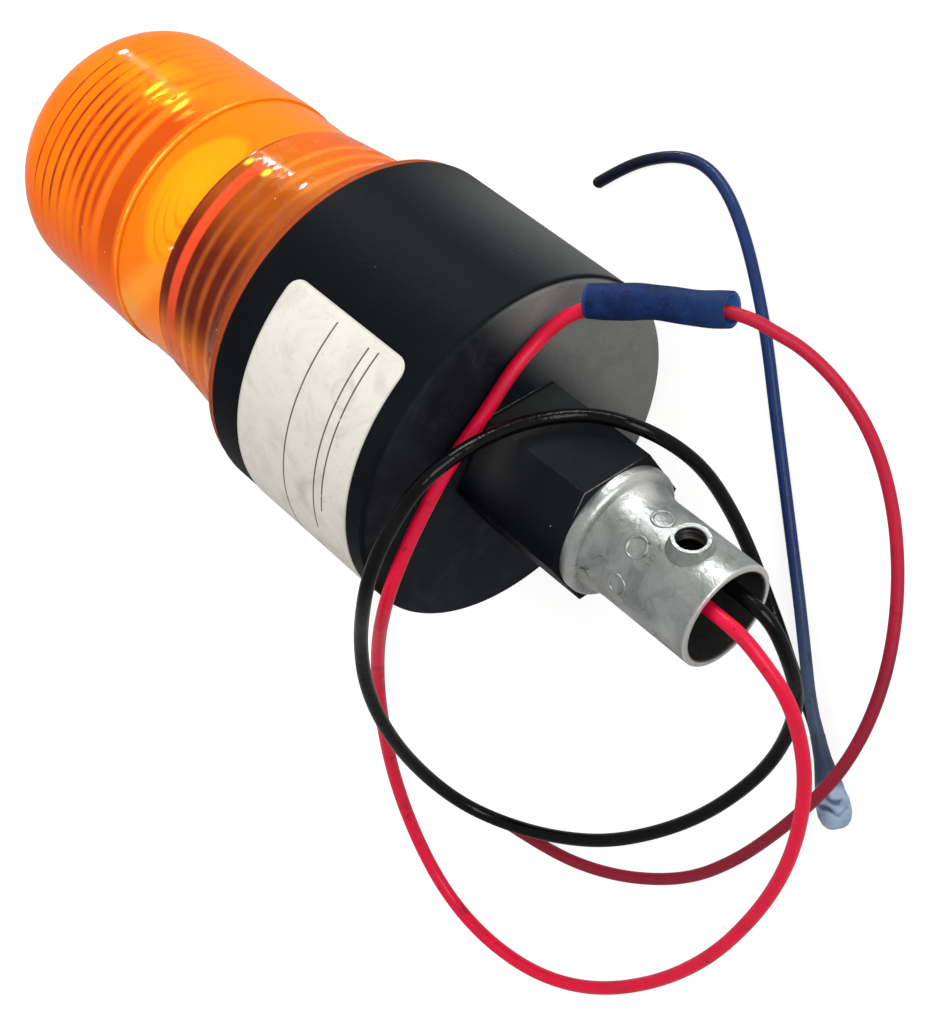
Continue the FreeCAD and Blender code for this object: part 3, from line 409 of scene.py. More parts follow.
class AmberAcrylic(Stuff):
    """Amber acrylic: a tinted clear surface over a clouded amber body.

    The body's colour follows the station in millimetres and the bearing, and paints the light and
    shade seen through the lens: painted shade lines at the prism rings of the drum, with a painted
    glow and glints, a painted bright oval on the smooth belt, and painted shade in the brown bands
    of the cove. Each part's method takes the colour so far and gives back the new one, and three of
    them also give back where the body covers more of the clear surface.
    """

    def __init__(self):
        super().__init__("amber_acrylic")
        self.mm = self.x * 1000.0
        self.bearing = self.turn()
        self.haze = self.noise(60.0, 4.0, 0.6)
        self.ragged = self.noise(330.0, 4.0, 0.65, stretch=(1.0, 0.45, 0.45))
        self.stagger = self.noise(300.0, 1.0, 0.5, stretch=(1.0, 0.12, 0.12))
        self.high = self.bearing.ramp(46.0, 84.0)
        self.low = self.bearing.ramp(-6.0, -44.0)
        tone = self.hazy_amber()
        tone = self.drum(tone)
        tone, foot = self.drum_foot(tone)
        tone = self.belt(tone)
        tone, cove, bands = self.cove(tone)
        tone, marks = self.marks(tone)
        mottled = self.noise(420.0, 2.0, 0.5, stretch=(1.0, 0.6, 0.6)).ramp(0.50, 0.60)
        glaze = 0.06 + mottled * self.mm.ramp(-34.0, -33.0) * 0.40
        self.set(Base_Color=(1.0, 0.45, 0.06), Roughness=glaze, Transmission_Weight=1.0, IOR=1.36)
        self.bump(self.noise(140.0, 3.0), 0.00012)
        body = shader_node(self.tree, "BsdfPrincipled", None, {
            "Base Color": tone, "Roughness": glaze + 0.05, "Specular IOR Level": 0.07})
        share = (0.80 + cove * 0.06 + (foot + bands + marks) * 0.10).clamp()
        look = shader_node(self.tree, "MixShader", None, {
            0: share, 1: self.skin.outputs[0], 2: body.outputs[0]})
        self.tree.links.new(look.outputs[0], self.tree.nodes["Material Output"].inputs["Surface"])

    def sector(self, first, first_full, last_full, last):
        """1 from one bearing to another, fading to 0 outside them."""
        return self.bearing.ramp(first, first_full) * self.bearing.ramp(last, last_full)

    def hazy_amber(self):
        """Amber with haze; painted light makes it yellower toward the far side and redder toward the table.
        """
        tone = self.mix(self.haze.ramp(0.35, 0.7), (0.98, 0.165, 0.003), (0.96, 0.210, 0.004))
        tone = self.mix(self.high * 0.75, tone, (0.98, 0.225, 0.004))
        return self.mix(self.low * 0.75, tone, (0.88, 0.112, 0.002))

    def drum(self, tone):
        """Painted shade lines at the prism rings, wider toward the foot and strongest on the facing side, a
        painted glow, and painted yellow glints.
        """
        mm = self.mm
        drum = mm.ramp(-83.0, -79.5) * mm.ramp(-57.0, -57.8)
        shifted = self.bearing + (self.stagger - 0.5) * 60.0
        facing = shifted.ramp(-26.0, -2.0) * shifted.ramp(56.0, 36.0) * 0.85 + 0.15
        wave = (mm + 60.5).wave(PRISM_PITCH)
        soft = wave.bell(0.5, mm.ramp(-84.0, -57.0) * 0.36 + 0.10).ramp(0.0, 0.6) * drum * facing
        core = wave.bell(0.5, 0.11) * drum * facing * self.ragged.ramp(0.62, 0.46)
        core = core * mm.ramp(-57.5, -66.0).ramp(-0.6, 1.0)
        tone = self.mix((soft * 0.90).clamp(), tone, (0.560, 0.062, 0.004))
        tone = self.mix((core * 0.95).clamp(), tone, (0.110, 0.014, 0.005))
        glow = mm.bell(-66.0, 13.0) * self.bearing.bell(50.0, 17.0)
        tone = self.mix(glow * self.haze.ramp(0.36, 0.56), tone, (1.0, 0.42, 0.008))
        glint = wave.bell(0.45, 0.42) * mm.ramp(-67.5, -64.5) * mm.ramp(-50.5, -53.0)
        glint = glint * (self.bearing + (self.stagger - 0.5) * 12.0).bell(46.0, 6.5)
        return self.mix((glint * self.ragged.ramp(0.38, 0.50) * 1.6).clamp(), tone, (1.0, 0.86, 0.06))

    def drum_foot(self, tone):
        """Painted shade and light at the foot of the drum: a redder band on the facing side and a paler ring.
        """
        band = self.mm.bell(-52.9, 3.6).ramp(0.0, 0.35) * self.sector(-46.0, -8.0, 38.0, 60.0)
        tone = self.mix(band * 0.85, tone, (0.470, 0.048, 0.005))
        pale = self.mm.bell(-57.0, 0.75) * self.bearing.bell(14.0, 40.0).ramp(0.0, 0.4)
        return self.mix(pale * 0.8, tone, (0.930, 0.200, 0.046)), band

    def belt(self, tone):
        """Painted light on the belt: a bright oval, the flash tube's image, cut off by the cove, fine arcs in
        it, and a paler streak beside it.
        """
        mm, turn = self.mm, self.bearing
        belt = mm.ramp(-49.6, -48.4) * mm.ramp(-33.2, -33.9)
        tone = self.mix(belt * 0.55, tone, (0.98, 0.215, 0.004))
        streak = ((turn + 33.0) - (mm + 44.0) * 2.6).abs().ramp(16.0, 2.0) * turn.ramp(2.0, -12.0)
        tone = self.mix(belt * (streak * 0.8 + self.low * 0.4).clamp(), tone, (1.0, 0.330, 0.030))
        oval = (((mm + 38.4) / 7.3) ** 2.0 + ((turn - 21.0) / 32.0) ** 2.0).sqrt()
        tone = self.mix(oval.ramp(1.06, 0.86) * belt, tone, (1.0, 0.330, 0.004))
        tone = self.mix(oval.ramp(0.80, 0.20) * belt * 0.7, tone, (1.0, 0.385, 0.005))
        arcs = (((mm + 35.6) / 7.3) ** 2.0 + ((turn - 30.0) / 32.0) ** 2.0).sqrt()
        arcs = (arcs * 26.0 + self.haze * 7.0).sin().ramp(0.45, 0.98) * oval.ramp(1.0, 0.85) * belt
        return self.mix(arcs * (turn.ramp(22.0, 8.0) * 0.50 + 0.08), tone, (0.800, 0.180, 0.004))

    def cove(self, tone):
        """Painted shade and light on the cove: a dark edge, a red band, then brown rings, lighter toward the
        far side and golden at both ends.
        """
        mm = self.mm
        cove = mm.ramp(-33.9, -33.2) * mm.ramp(-6.6, -7.6)
        ring = (mm + 26.6).wave(COVE_PITCH).bell(0.5, 0.30) * mm.ramp(-27.4, -26.4) * mm.ramp(-12.5, -14.0)
        lighter = self.bearing.ramp(6.0, 34.0) + mm.ramp(-13.0, -9.5)
        brown = self.mix(lighter, (0.120, 0.012, 0.004), (0.350, 0.068, 0.006))
        brown = self.mix((ring * (self.ragged * 0.8 + 0.3)).clamp(), brown, (0.440, 0.094, 0.012))
        ends = self.mix(self.high, (0.560, 0.135, 0.004), (0.680, 0.108, 0.004))
        ends = self.mix(self.low, ends, (0.640, 0.110, 0.008))
        ends = self.mix(ring * 0.5, ends, (0.900, 0.290, 0.030))
        tone = self.mix(cove, tone, self.mix(self.sector(-34.0, -14.0, 38.0, 54.0), ends, brown))
        red = mm.ramp(-31.0, -30.2) * mm.ramp(-27.2, -27.9) * self.sector(-40.0, -14.0, 36.0, 58.0)
        tone = self.mix(red * 0.95, tone, (0.700, 0.066, 0.020))
        edge = mm.bell(-33.5, 0.5) * self.sector(-48.0, -20.0, 50.0, 80.0)
        return self.mix(edge * 0.9, tone, (0.120, 0.010, 0.012)), cove, edge + red

    def marks(self, tone):
        """The belt's painted bright edge line, painted sparks and a painted glint beside the cove, the
        flange, and specks.
        """
        mm, turn = self.mm, self.bearing
        thin = mm.bell(-49.2, 0.40) * self.sector(-30.0, -4.0, 50.0, 72.0) * self.ragged.ramp(0.66, 0.40)
        tone = self.mix(thin * 0.9, tone, (1.0, 0.62, 0.16))
        spark = (mm.bell(-32.2, 1.1) + mm.bell(-26.4, 1.3)) * turn.bell(45.0, 3.0)
        tone = self.mix((spark * 1.4).clamp(), tone, (1.0, 0.80, 0.04))
        # painted glint: a small pale stroke beside the cove
        pale_glint = mm.bell(-34.3, 1.0) * (turn - mm * 1.6 - 54.9).bell(0.0, 0.9)
        tone = self.mix(pale_glint.clamp(), tone, (1.0, 0.92, 0.80))
        flange = mm.ramp(-8.0, -7.5)
        tone = self.mix(flange * 0.9, tone, (0.250, 0.042, 0.016))
        specks = self.cells(210.0).ramp(0.050, 0.022)
        return self.mix(specks * 0.6, tone, (1.0, 0.70, 0.35)), thin + flange


def plain(name, colour, other, roughness, scale=300.0, metallic=0.0, relief=0.00004, **more):
    """A material mottled between two close colours."""
    m = Stuff(name)
    spots = m.noise(scale, 4.0, 0.6)
    m.set(Base_Color=m.mix(spots.ramp(0.35, 0.7), colour, other), Metallic=metallic, **more)
    m.set(Roughness=m.blend(spots, roughness, roughness + 0.12))
    return m.bump(m.noise(scale * 4.0, 2.0), relief)


def sleeve_vinyl():
    """Matt blue vinyl with a fine grain, paler toward the open end by a painted highlight, and rubbed paler
    at its lips.
    """
    m = Stuff("blue_sleeve_vinyl")
    reach = m.past(SPLICE_START, SPLICE_WAY)
    mottle = m.noise(260.0, 4.0, 0.65)
    grain = m.noise(2300.0, 2.0, 0.7)
    inner = m.off_line(SPLICE_START, SPLICE_WAY).ramp(0.0029, 0.0027)
    lips = reach.ramp(0.0010, 0.0001) * 0.25 + reach.ramp(0.0262, 0.0270)
    tone = m.mix(mottle.ramp(0.35, 0.7), (0.0020, 0.0085, 0.044), (0.0045, 0.0190, 0.084))
    # painted highlight: paler toward the open end
    tone = m.mix(reach.ramp(0.012, 0.026) * 0.45, tone, (0.0090, 0.0360, 0.130))
    tone = m.mix(grain.ramp(0.50, 0.75) * 0.30, tone, (0.0200, 0.0550, 0.165))
    tone = m.mix(lips.clamp() * 0.6, tone, (0.110, 0.190, 0.380))
    tone = m.mix(inner * reach.ramp(0.020, 0.024), tone, (0.0400, 0.1300, 0.420))
    m.set(Base_Color=tone, Roughness=m.blend(mottle, 0.50, 0.66), Specular_IOR_Level=0.14)
    return m.bump(grain * 0.5 + mottle, 0.00012)


def cap_nylon():
    """Slate nylon: dark at the neck, paler on the bulb, with painted shade in its creases."""
    m = Stuff("slate_cap_nylon")
    reach = m.past(CAP_NECK, CAP_WAY)
    mottle = m.noise(420.0, 4.0, 0.65, distort=0.5)
    fold = Val(m.tree, shader_node(m.tree, "Attribute", {"attribute_name": "fold"}).outputs["Fac"])
    fold = fold * m.noise(700.0, 2.0, 0.6).ramp(0.15, 0.50)
    tone = m.mix(reach.ramp(0.0082, 0.0112), (0.0220, 0.0330, 0.072), (0.250, 0.335, 0.455))
    tone = m.mix(reach.ramp(0.0060, 0.0010) * 0.9, tone, (0.0370, 0.0570, 0.1000))
    tone = m.mix(mottle.ramp(0.42, 0.70) * reach.ramp(0.0060, 0.0110) * 0.40, tone, (0.120, 0.175, 0.270))
    # painted shade: the creases darkened by their depth
    tone = m.mix(fold.ramp(0.05, 0.80) * 0.85, tone, (0.045, 0.072, 0.140))
    m.set(Base_Color=tone, Roughness=m.blend(mottle, 0.42, 0.60), Specular_IOR_Level=0.30)
    return m.bump(m.noise(1300.0, 3.0), 0.00010)


def circuit_laminate():
    """Brown laminate with tinned tracks."""
    m = Stuff("circuit_laminate")
    weave = (m.y * 5200.0).sin() * (m.z * 5200.0).sin()
    tracks = m.noise(90.0, 0.0, 0.5, stretch=(1.0, 2.2, 0.7)).bell(0.5, 0.03).ramp(0.25, 0.35)
    base = m.mix(weave * 0.2 + 0.5, (0.20, 0.11, 0.04), (0.27, 0.16, 0.06))
    m.set(Base_Color=m.mix(tracks, base, (0.55, 0.55, 0.52)), Metallic=tracks * 0.8, Roughness=0.45)
    return m.bump(tracks, 0.0001)


def wound_wire():
    """Enamelled copper wound in fine turns along X."""
    m = Stuff("enamelled_winding")
    turns = (m.x * 9000.0).sin() * 0.5 + 0.5
    m.set(Base_Color=m.mix(turns, (0.30, 0.07, 0.02), (0.62, 0.22, 0.07)), Metallic=0.7, Roughness=0.32)
    return m.bump(turns, 0.0002)


red_pvc = insulation("red_pvc", (0.600, 0.0020, 0.034), (0.400, 0.0020, 0.020), 0.30, 0.75, 0.30)
dark_red_pvc = insulation("dark_red_pvc", (0.215, 0.0065, 0.022), (0.105, 0.0055, 0.013), 0.42, 0.75, 0.25,
                          lit_raised=(0.400, 0.0060, 0.030))
black_pvc = insulation("black_pvc", (0.0020, 0.0020, 0.0026), (0.0070, 0.0070, 0.0080), 0.17, 0.0, 0.24)
blue_pvc = insulation("blue_pvc", (0.0095, 0.0270, 0.105), (0.0050, 0.0090, 0.038), 0.30, 0.45, 0.28,
                      aged=(0.040, 0.062, 0.110), dark_end=(0.0055, 0.0065, 0.016))
splice_vinyl = sleeve_vinyl()
nylon = cap_nylon()
zinc = cast_zinc()
rubber = plain("black_rubber", (0.012, 0.012, 0.012), (0.02, 0.02, 0.02), 0.7)
steel = plain("zinc_plated_steel", (0.55, 0.55, 0.53), (0.66, 0.65, 0.60), 0.28, 500.0, 1.0)
copper = plain("tinned_copper", (0.62, 0.36, 0.22), (0.75, 0.50, 0.33), 0.30, 900.0, 1.0)
deck_skin = plain("deck_laminate", (0.05, 0.032, 0.022), (0.08, 0.055, 0.038), 0.5)
ceramic = plain("white_ceramic", (0.78, 0.74, 0.66), (0.68, 0.63, 0.54), 0.35)
post_skin = plain("grey_post", (0.30, 0.27, 0.22), (0.22, 0.19, 0.15), 0.5)
glass = plain("flash_tube_glass", (0.95, 0.88, 0.70), (0.85, 0.75, 0.52), 0.12, 240.0,
              Transmission_Weight=0.35)
can = plain("capacitor_sleeve", (0.02, 0.03, 0.09), (0.03, 0.045, 0.12), 0.35)
ferrite = plain("ferrite_core", (0.03, 0.028, 0.027), (0.05, 0.047, 0.045), 0.6)
epoxy = plain("black_epoxy", (0.014, 0.014, 0.014), (0.025, 0.025, 0.025), 0.4)
film_box = plain("film_capacitor_case", (0.42, 0.12, 0.02), (0.5, 0.17, 0.04), 0.35)
carbon = plain("resistor_body", (0.45, 0.36, 0.22), (0.52, 0.43, 0.28), 0.4)

for stuff, names in (
        (moulded_black(), ["housing"]), (label_film(), ["id_label"]), (AmberAcrylic(), ["lens"]),
        (zinc, ["conduit_connector"]), (rubber, ["lens_gasket", "lead_bush"]),
        (deck_skin, ["deck_plate"]), (post_skin, ["lamp_post"]), (ceramic, ["tube_platform"]),
        (glass, ["flash_tube"]), (copper, ["trigger_wire", "lamp_lead_1", "lamp_lead_2", "splice_barrel"]),
        (steel, ["deck_screw_1", "deck_screw_2", "deck_screw_3", "board_screw_1", "board_screw_2",
                 "board_screw_3", "board_spacer_1", "board_spacer_2", "board_spacer_3"]),
        (circuit_laminate(), ["circuit_board"]), (can, ["storage_capacitor"]),
        (ferrite, ["transformer_core"]), (wound_wire(), ["transformer_winding", "trigger_coil"]),
        (epoxy, ["power_transistor", "rectifier_diode"]), (film_box, ["film_capacitor"]),
        (carbon, ["bleed_resistor", "limit_resistor"]),
        (splice_vinyl, ["splice_sleeve"]), (nylon, ["splice_cap"]),
        (red_pvc, ["red_tail"]), (black_pvc, ["black_tail"])):
    for name in names:
        dress(name, stuff)


# ------------------------------------------------------------------ modelled pieces
def skin(name, points, stuff, rows_close=False, fold=None):
    """A closed mesh through a grid of points in millimetres: rows along, columns round.

    The columns always close on themselves; the rows close too when asked, and otherwise the
    first and last rows are single points. Faces are turned outwards by the sign of the volume.
    The last argument is a number kept at every point, by which the material paints shade.
    """
    rows, columns = points.shape[:2]
    index = np.arange(rows * columns).reshape(rows, columns)
    index = np.hstack([index, index[:, :1]])
    if rows_close:
        index = np.vstack([index, index[:1]])
    quads = np.stack([index[:-1, :-1], index[:-1, 1:], index[1:, 1:], index[1:, :-1]], axis=-1)
    quads = quads.reshape(-1, 4)
    spots = points.reshape(-1, 3) * MM
    corner = spots[quads] - spots.mean(axis=0)
    volume = (np.cross(corner[:, 0], corner[:, 1]) * corner[:, 2]).sum()
    volume += (np.cross(corner[:, 0], corner[:, 2]) * corner[:, 3]).sum()
    if volume < 0:
        quads = quads[:, ::-1]
    mesh = bpy.data.meshes.new(name)
    mesh.from_pydata(spots, [], quads)
    if fold is not None:
        kept = mesh.attributes.new("fold", "FLOAT", "POINT")
        kept.data.foreach_set("value", fold.ravel().astype(np.float32))
    work = bmesh.new()
    work.from_mesh(mesh)
    bmesh.ops.remove_doubles(work, verts=work.verts, dist=1e-7)
    work.to_mesh(mesh)
    work.free()
    mesh.shade_smooth()
    mesh.materials.append(stuff.material)
    piece = bpy.data.objects.new(name, mesh)
    bpy.context.collection.objects.link(piece)
    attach(piece, "housing")
    return piece


def frame_of(way):
    """A unit direction along a way, one level with the table and one square to both."""
    way = np.array(way) / np.linalg.norm(way)
    side = np.cross(way, (0.0, 0.0, 1.0))
    side /= np.linalg.norm(side)
    return way, side, np.cross(side, way)


def bump_at(value, middle, width):
    """A smooth bump: exp(-((value - middle) / width)^2)."""
    return np.exp(-((value - middle) / width) ** 2)


def splice_sleeve():
    """Limp vinyl tube: the outer wall, a rounded lip, the inner wall and the other lip, as one loop.

    The loop is carried round the sleeve's line at radius + ripple(along, round); the line itself
    bows toward the far side, and the wall has a thumb dent, a kink and an oval open end snipped aslant.
    """
    half = SPLICE_WALL / 2
    middle = SPLICE_RADIUS - half
    outer = np.linspace(half, SPLICE_LENGTH - half, 70)
    lip = np.linspace(math.pi / 2, -math.pi / 2, 9)[1:-1]
    along = np.concatenate([outer, SPLICE_LENGTH - half + half * np.cos(lip),
                            outer[::-1], half - half * np.cos(lip[::-1])])
    radius = np.concatenate([np.full_like(outer, middle + half), middle + half * np.sin(lip),
                             np.full_like(outer, middle - half), middle + half * np.sin(lip[::-1])])
    side, rise = frame_of(SPLICE_WAY)[1:]
    s, a = np.meshgrid(along, np.linspace(0, 2 * math.pi, 72, endpoint=False), indexing="ij")
    share = s / SPLICE_LENGTH
    ripple = 0.055 * np.sin(share * 9.0 + 1.3 * np.sin(a)) + 0.035 * np.sin(share * 23.0 + 2.0 * a)
    ripple -= 0.42 * bump_at(share, 0.66, 0.09) * np.clip(np.cos(a - 1.9), 0, 1) ** 2
    ripple -= 0.34 * bump_at(share, 0.45, 0.10) * np.clip(np.cos(a + 1.1), 0, 1) ** 2
    ripple -= 0.22 * bump_at(share, 0.04, 0.05) * np.cos(a - 0.7) ** 2
    ripple += 0.10 * bump_at(share, 0.28, 0.12)
    r = radius[:, None] + ripple
    oval = 1.0 + 0.05 * bump_at(share, 1.0, 0.16) * np.cos(2 * (a - 0.5))
    bow = 0.45 * bump_at(share, 0.42, 0.22) - 0.18 * bump_at(share, 0.80, 0.14)
    far = np.array((-0.539, 0.843, 0.0))
    far -= SPLICE_WAY * far.dot(SPLICE_WAY)
    shorter_side = 1.53
    slant = SPLICE_SLANT / 2 * (1.0 + np.cos(a - shorter_side))
    s = s - slant * np.clip((share - 0.55) / 0.45, 0, 1) ** 2
    points = (SPLICE_START + s[..., None] * SPLICE_WAY + (r * oval * np.cos(a))[..., None] * side
              + (r * oval * np.sin(a))[..., None] * rise + bow[..., None] * far)
    piece = skin("splice_sleeve_skin", points, splice_vinyl, rows_close=True)
    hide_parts("splice_sleeve")
    return piece


def splice_cap():
    """Closed-end cap: an oval neck round two leads that swells to a round bulb.

    Half height and half width are interpolated along the cap, and each crease is a slightly wavy
    line in (along, round) that pulls the skin in by depth * exp(-(distance / width)^2) between its ends.
    """
    share = np.array((0.0, 0.1, 0.25, 0.42, 0.58, 0.72, 0.84, 0.93, 0.98, 1.0))
    tall = CAP_RADIUS * np.array((0.87, 0.87, 0.88, 0.91, 0.955, 1.0, 0.97, 0.82, 0.575, 0.335))
    wide = CAP_RADIUS * np.array((0.43, 0.44, 0.50, 0.66, 0.84, 0.97, 0.97, 0.82, 0.575, 0.335))
    body = np.linspace(0.0, 1.0, 110)
    t = np.concatenate([[0.030, 0.030, 0.012, -0.004], body, [1.003]])
    fill = np.concatenate([[0.0, 0.60, 0.86, 0.93], np.full(110, 1.0), [0.0]])
    along, a = np.meshgrid(t, np.linspace(-math.pi, math.pi, 128, endpoint=False), indexing="ij")
    up = np.interp(np.clip(along, 0, 1), share, tall)
    out = np.interp(np.clip(along, 0, 1), share, wide)
    pull = np.zeros_like(along)
    degrees = np.degrees(a)
    for t0, a0, t1, a1, depth, width in CREASES:
        where = np.clip((degrees - a0) / (a1 - a0), -0.25, 1.25)
        off = along - (t0 + (t1 - t0) * where) - 0.012 * np.sin(degrees / 11.0 + 40.0 * t0)
        ends = bump_at(np.clip(np.abs((degrees - a0) / (a1 - a0) - 0.5) - 0.20, 0, None), 0.0, 0.26)
        pull += depth * np.exp(-(off / width) ** 2) * ends
    pull += 0.05 * np.sin(along * 34.0 + 2.0 * np.sin(a + 0.6)) * bump_at(along, 0.7, 0.2)
    scale = fill[:, None] * (1.0 - np.clip(pull, 0, None) / np.maximum(up, 1.0))
    points = (CAP_NECK + (along * CAP_LENGTH)[..., None] * CAP_WAY
              + (scale * up * np.cos(a))[..., None] * CAP_STACK
              + (scale * out * np.sin(a))[..., None] * CAP_SIDE)
    points[..., 2] = np.maximum(points[..., 2], 0.12)
    deepest = max(crease[4] for crease in CREASES)
    piece = skin("splice_cap_skin", points, nylon, fold=pull / deepest)
    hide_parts("splice_cap")
    return piece


def cast_ring(number, station, degrees, size):
    """A plain raised ring on the connector's sleeve.

    The ring's circle is wrapped on the sleeve: along = station + size cos u, round = size sin u,
    with a low half-round section, about 0.3 high and 0.36 in half width.
    """
    u, v = np.meshgrid(np.linspace(0, 2 * math.pi, 56, endpoint=False),
                       np.linspace(0, 2 * math.pi, 12, endpoint=False), indexing="ij")
    reach = size + (0.36 + 0.10 * np.sin(2 * u + number)) * np.cos(v)
    height = SLEEVE_RADIUS - 0.05 + np.where(np.sin(v) > 0, 0.30, 0.10) * np.sin(v)
    height += 0.05 * np.sin(3 * u + number)
    angle = math.radians(degrees) + reach * np.sin(u) / SLEEVE_RADIUS
    points = np.stack([station + reach * np.cos(u), height * np.sin(angle),
                       AXIS / MM + height * np.cos(angle)], axis=-1)
    return skin("cast_ring_%d" % number, points, zinc, rows_close=True)


def set_screw_thread():
    """The collar's inside thread: a triangular ridge carried along a helix round the hole's axis."""
    bearing = math.radians(HOLE_BEARING)
    u = np.linspace(0.0, 1.0, 150)
    ridge = np.array([(0.10, -0.42), (-0.30, -0.05), (-0.30, 0.05), (0.10, 0.42)])
    grow = np.clip(np.minimum(u, 1 - u) / 0.06, 0.05, 1.0)
    turn = 2 * math.pi * THREAD_TURNS * u
    radius = HOLE_RADIUS + ridge[None, :, 0] * grow[:, None]
    depth = THREAD_START + THREAD_PITCH * THREAD_TURNS * u[:, None] + ridge[None, :, 1] * grow[:, None]
    out = np.array((0.0, math.sin(bearing), math.cos(bearing)))
    across = np.array((0.0, math.cos(bearing), -math.sin(bearing)))
    points = (np.array((HOLE_STATION, 0.0, AXIS / MM)) + depth[..., None] * out
              + (radius * np.cos(turn)[:, None])[..., None] * np.array((1.0, 0.0, 0.0))
              + (radius * np.sin(turn)[:, None])[..., None] * across)
    ends = [np.repeat(points[k].mean(axis=0)[None, None], 4, axis=1) for k in (0, -1)]
    return skin("set_screw_thread", np.concatenate([ends[0], points, ends[1]]), zinc)


def strands(name, end, way, reach):
    """Seven bare strands that stand out of a cut end: one in the middle and six round it.

    Each is a short round bar with a domed tip; all seven share one outline of radius against length.
    """
    way, side, rise = frame_of(way)
    length = np.array((-0.35, -0.35, 0.0, 0.75, 0.90, 0.97, 1.0)) * reach
    thick = np.array((0.0, 1.0, 1.0, 1.0, 0.78, 0.42, 0.0)) * STRAND_RADIUS
    s, a = np.meshgrid(np.arange(7), np.linspace(0, 2 * math.pi, 12, endpoint=False), indexing="ij")
    sixth = 1.047  # of a turn, in radians
    made = []
    for k in range(7):
        away = 0.0 if k == 0 else STRAND_PITCH
        spot = side * away * math.cos(k * sixth) + rise * away * math.sin(k * sixth)
        shorter = 1.0 - 0.12 * (k % 3)
        points = (np.array(end) + spot + (length[s] * shorter)[..., None] * way
                  + (thick[s] * np.cos(a))[..., None] * side + (thick[s] * np.sin(a))[..., None] * rise)
        made.append(skin("%s_%d" % (name, k + 1), points, copper))
    return made


def cut_end(name, end, way, radius, stuff):
    """The pinched end of a lead: radius * (1 - reach^2)^0.5 with two shallow nips on its sides."""
    way, side, rise = frame_of(way)
    reach, a = np.meshgrid(np.concatenate([[-0.5, -0.5], np.sin(np.linspace(0, math.pi / 2, 14))]),
                           np.linspace(0, 2 * math.pi, 40, endpoint=False), indexing="ij")
    past = np.clip(reach, 0, 1)
    round_off = np.sqrt(1 - past ** 2) * (1 - 0.18 * past * np.cos(2 * a))
    round_off[0] = 0.0
    r = (radius - 0.01) * round_off
    points = (np.array(end) + (reach * 0.9)[..., None] * way + (r * np.cos(a))[..., None] * side
              + (r * np.sin(a))[..., None] * rise)
    return skin(name, points, stuff)


for number, (station, degrees, size) in enumerate(RINGS, 1):
    cast_ring(number, station, degrees, size)
set_screw_thread()

# ------------------------------------------------------------------ leads
RED = [(51.83, 0.2, 39.3), (62, 0.2, 39.3), (80.5, 0.9, 41.4), (95.1, 1.6, 42.9), (100.8, 0.8, 41.3),
       (105.7, -1.5, 39.2), (110.5, -5, 35.6), (114.2, -10.9, 31), (117.6, -18.9, 26.6),
       (119.1, -29.4, 21.5), (118.6, -40.6, 16.5), (115.8, -53.4, 11.4), (110.5, -68.5, 6.9),
       (101.9, -82.6, 3.3), (90.6, -94.5, 1.6), (78.2, -101.4, 1.4), (64.4, -104.1, 1.4),
       (52.3, -102.1, 3.2), (42.7, -94.5, 8.5), (35.7, -81.38, 17.9), (33.39, -65.15, 29.8),
       (34.8, -49.09, 42), (43.38, -30.96, 58.8), (42.1, -20, 58.6), (41.9, -8.1, 58.2), (41.9, 1, 57),
       (41.8, 9.6, 54.2), (41.7, 17.5, 52.7), (41.4, 23.6, 49.3), (42.6, 28.2, 47.9),
       (44.1, 31.2, 46.8), (47.99, 35.64, 44.74), (52.02, 37.7, 43.15)]
EXTENSION = [(60.75, 42.18, 39.7), (64.78, 44.25, 38.11), (69.9, 45.4, 34.9), (72.9, 45, 32.4),
             (78.3, 44.5, 28.3), (85.8, 41.4, 23.4), (93.2, 35.6, 18.1), (100.2, 26.5, 13.3),
             (106.6, 15.3, 10.2), (111.9, 3.6, 9.4), (115.2, -7.7, 10.1), (116.1, -18.3, 11.3),
             (114.3, -27.9, 11.6), (109.7, -39.1, 8), (103.9, -50.6, 4.4), (96.7, -61, 1.8),
             (87.2, -69, 1.25), (76.9, -74.7, 1.25), (65.8, -78.4, 1.25), (54, -80.4, 1.25)]
BLACK = [(51.83, 0.4, 34.9), (62, 0.4, 34.9), (80.5, 4.2, 35.6), (95.4, 3.9, 34.1), (99.8, 2.4, 32),
         (103, -1.6, 28.5), (104.9, -6.7, 23.5), (105, -11.4, 18.5), (104.4, -19.2, 13.3),
         (102.7, -28.2, 9.9), (99, -37.8, 7.5), (94, -47.4, 5.9), (87.1, -56.9, 5.2),
         (78.8, -65.5, 5.9), (69, -71.8, 7.2), (59.1, -75.8, 9.6), (51.08, -75.82, 15.9),
         (45.44, -71, 25.8), (42.75, -62.69, 37.8), (41.18, -52.39, 48.8), (41.32, -41.23, 57.4),
         (46.21, -27.99, 68.8), (46.24, -20.4, 71.1), (45.8, -12.3, 70.5), (46.5, -3.1, 69.4),
         (47, 3.4, 64.1), (47.4, 8.6, 56), (49.2, 12.7, 47.8), (53.4, 16.2, 41.6), (60.4, 18.4, 38.3),
         (65.4, 17.5, 31), (69.8, 14.7, 24.1), (73.9, 9, 16.4), (77.9, 2.5, 9.7), (82.6, -3.7, 5.4),
         (87.7, -8.9, 2.8), (92.6, -13.4, 1.8), (97.7, -16.8, 1.5), (101.98, -18.68, 1.97),
         (104.49, -20.98, 2.01)]
BLUE = [(3.9, 42.1, 1.25), (7.6, 47.1, 1.25), (12.6, 51.9, 1.25), (19.2, 55.8, 1.25),
        (25.9, 56.7, 1.25), (33, 54.3, 1.25), (40.7, 49, 1.25), (48.2, 42.2, 1.25), (55.6, 34.6, 1.25),
        (63.8, 24.9, 1.25), (71.8, 15.7, 1.25), (80.7, 5.4, 1.25), (88.1, -3, 1.4), (95.5, -10.6, 2.8),
        (101.03, -15.83, 4.39), (105.46, -19.88, 4.46)]


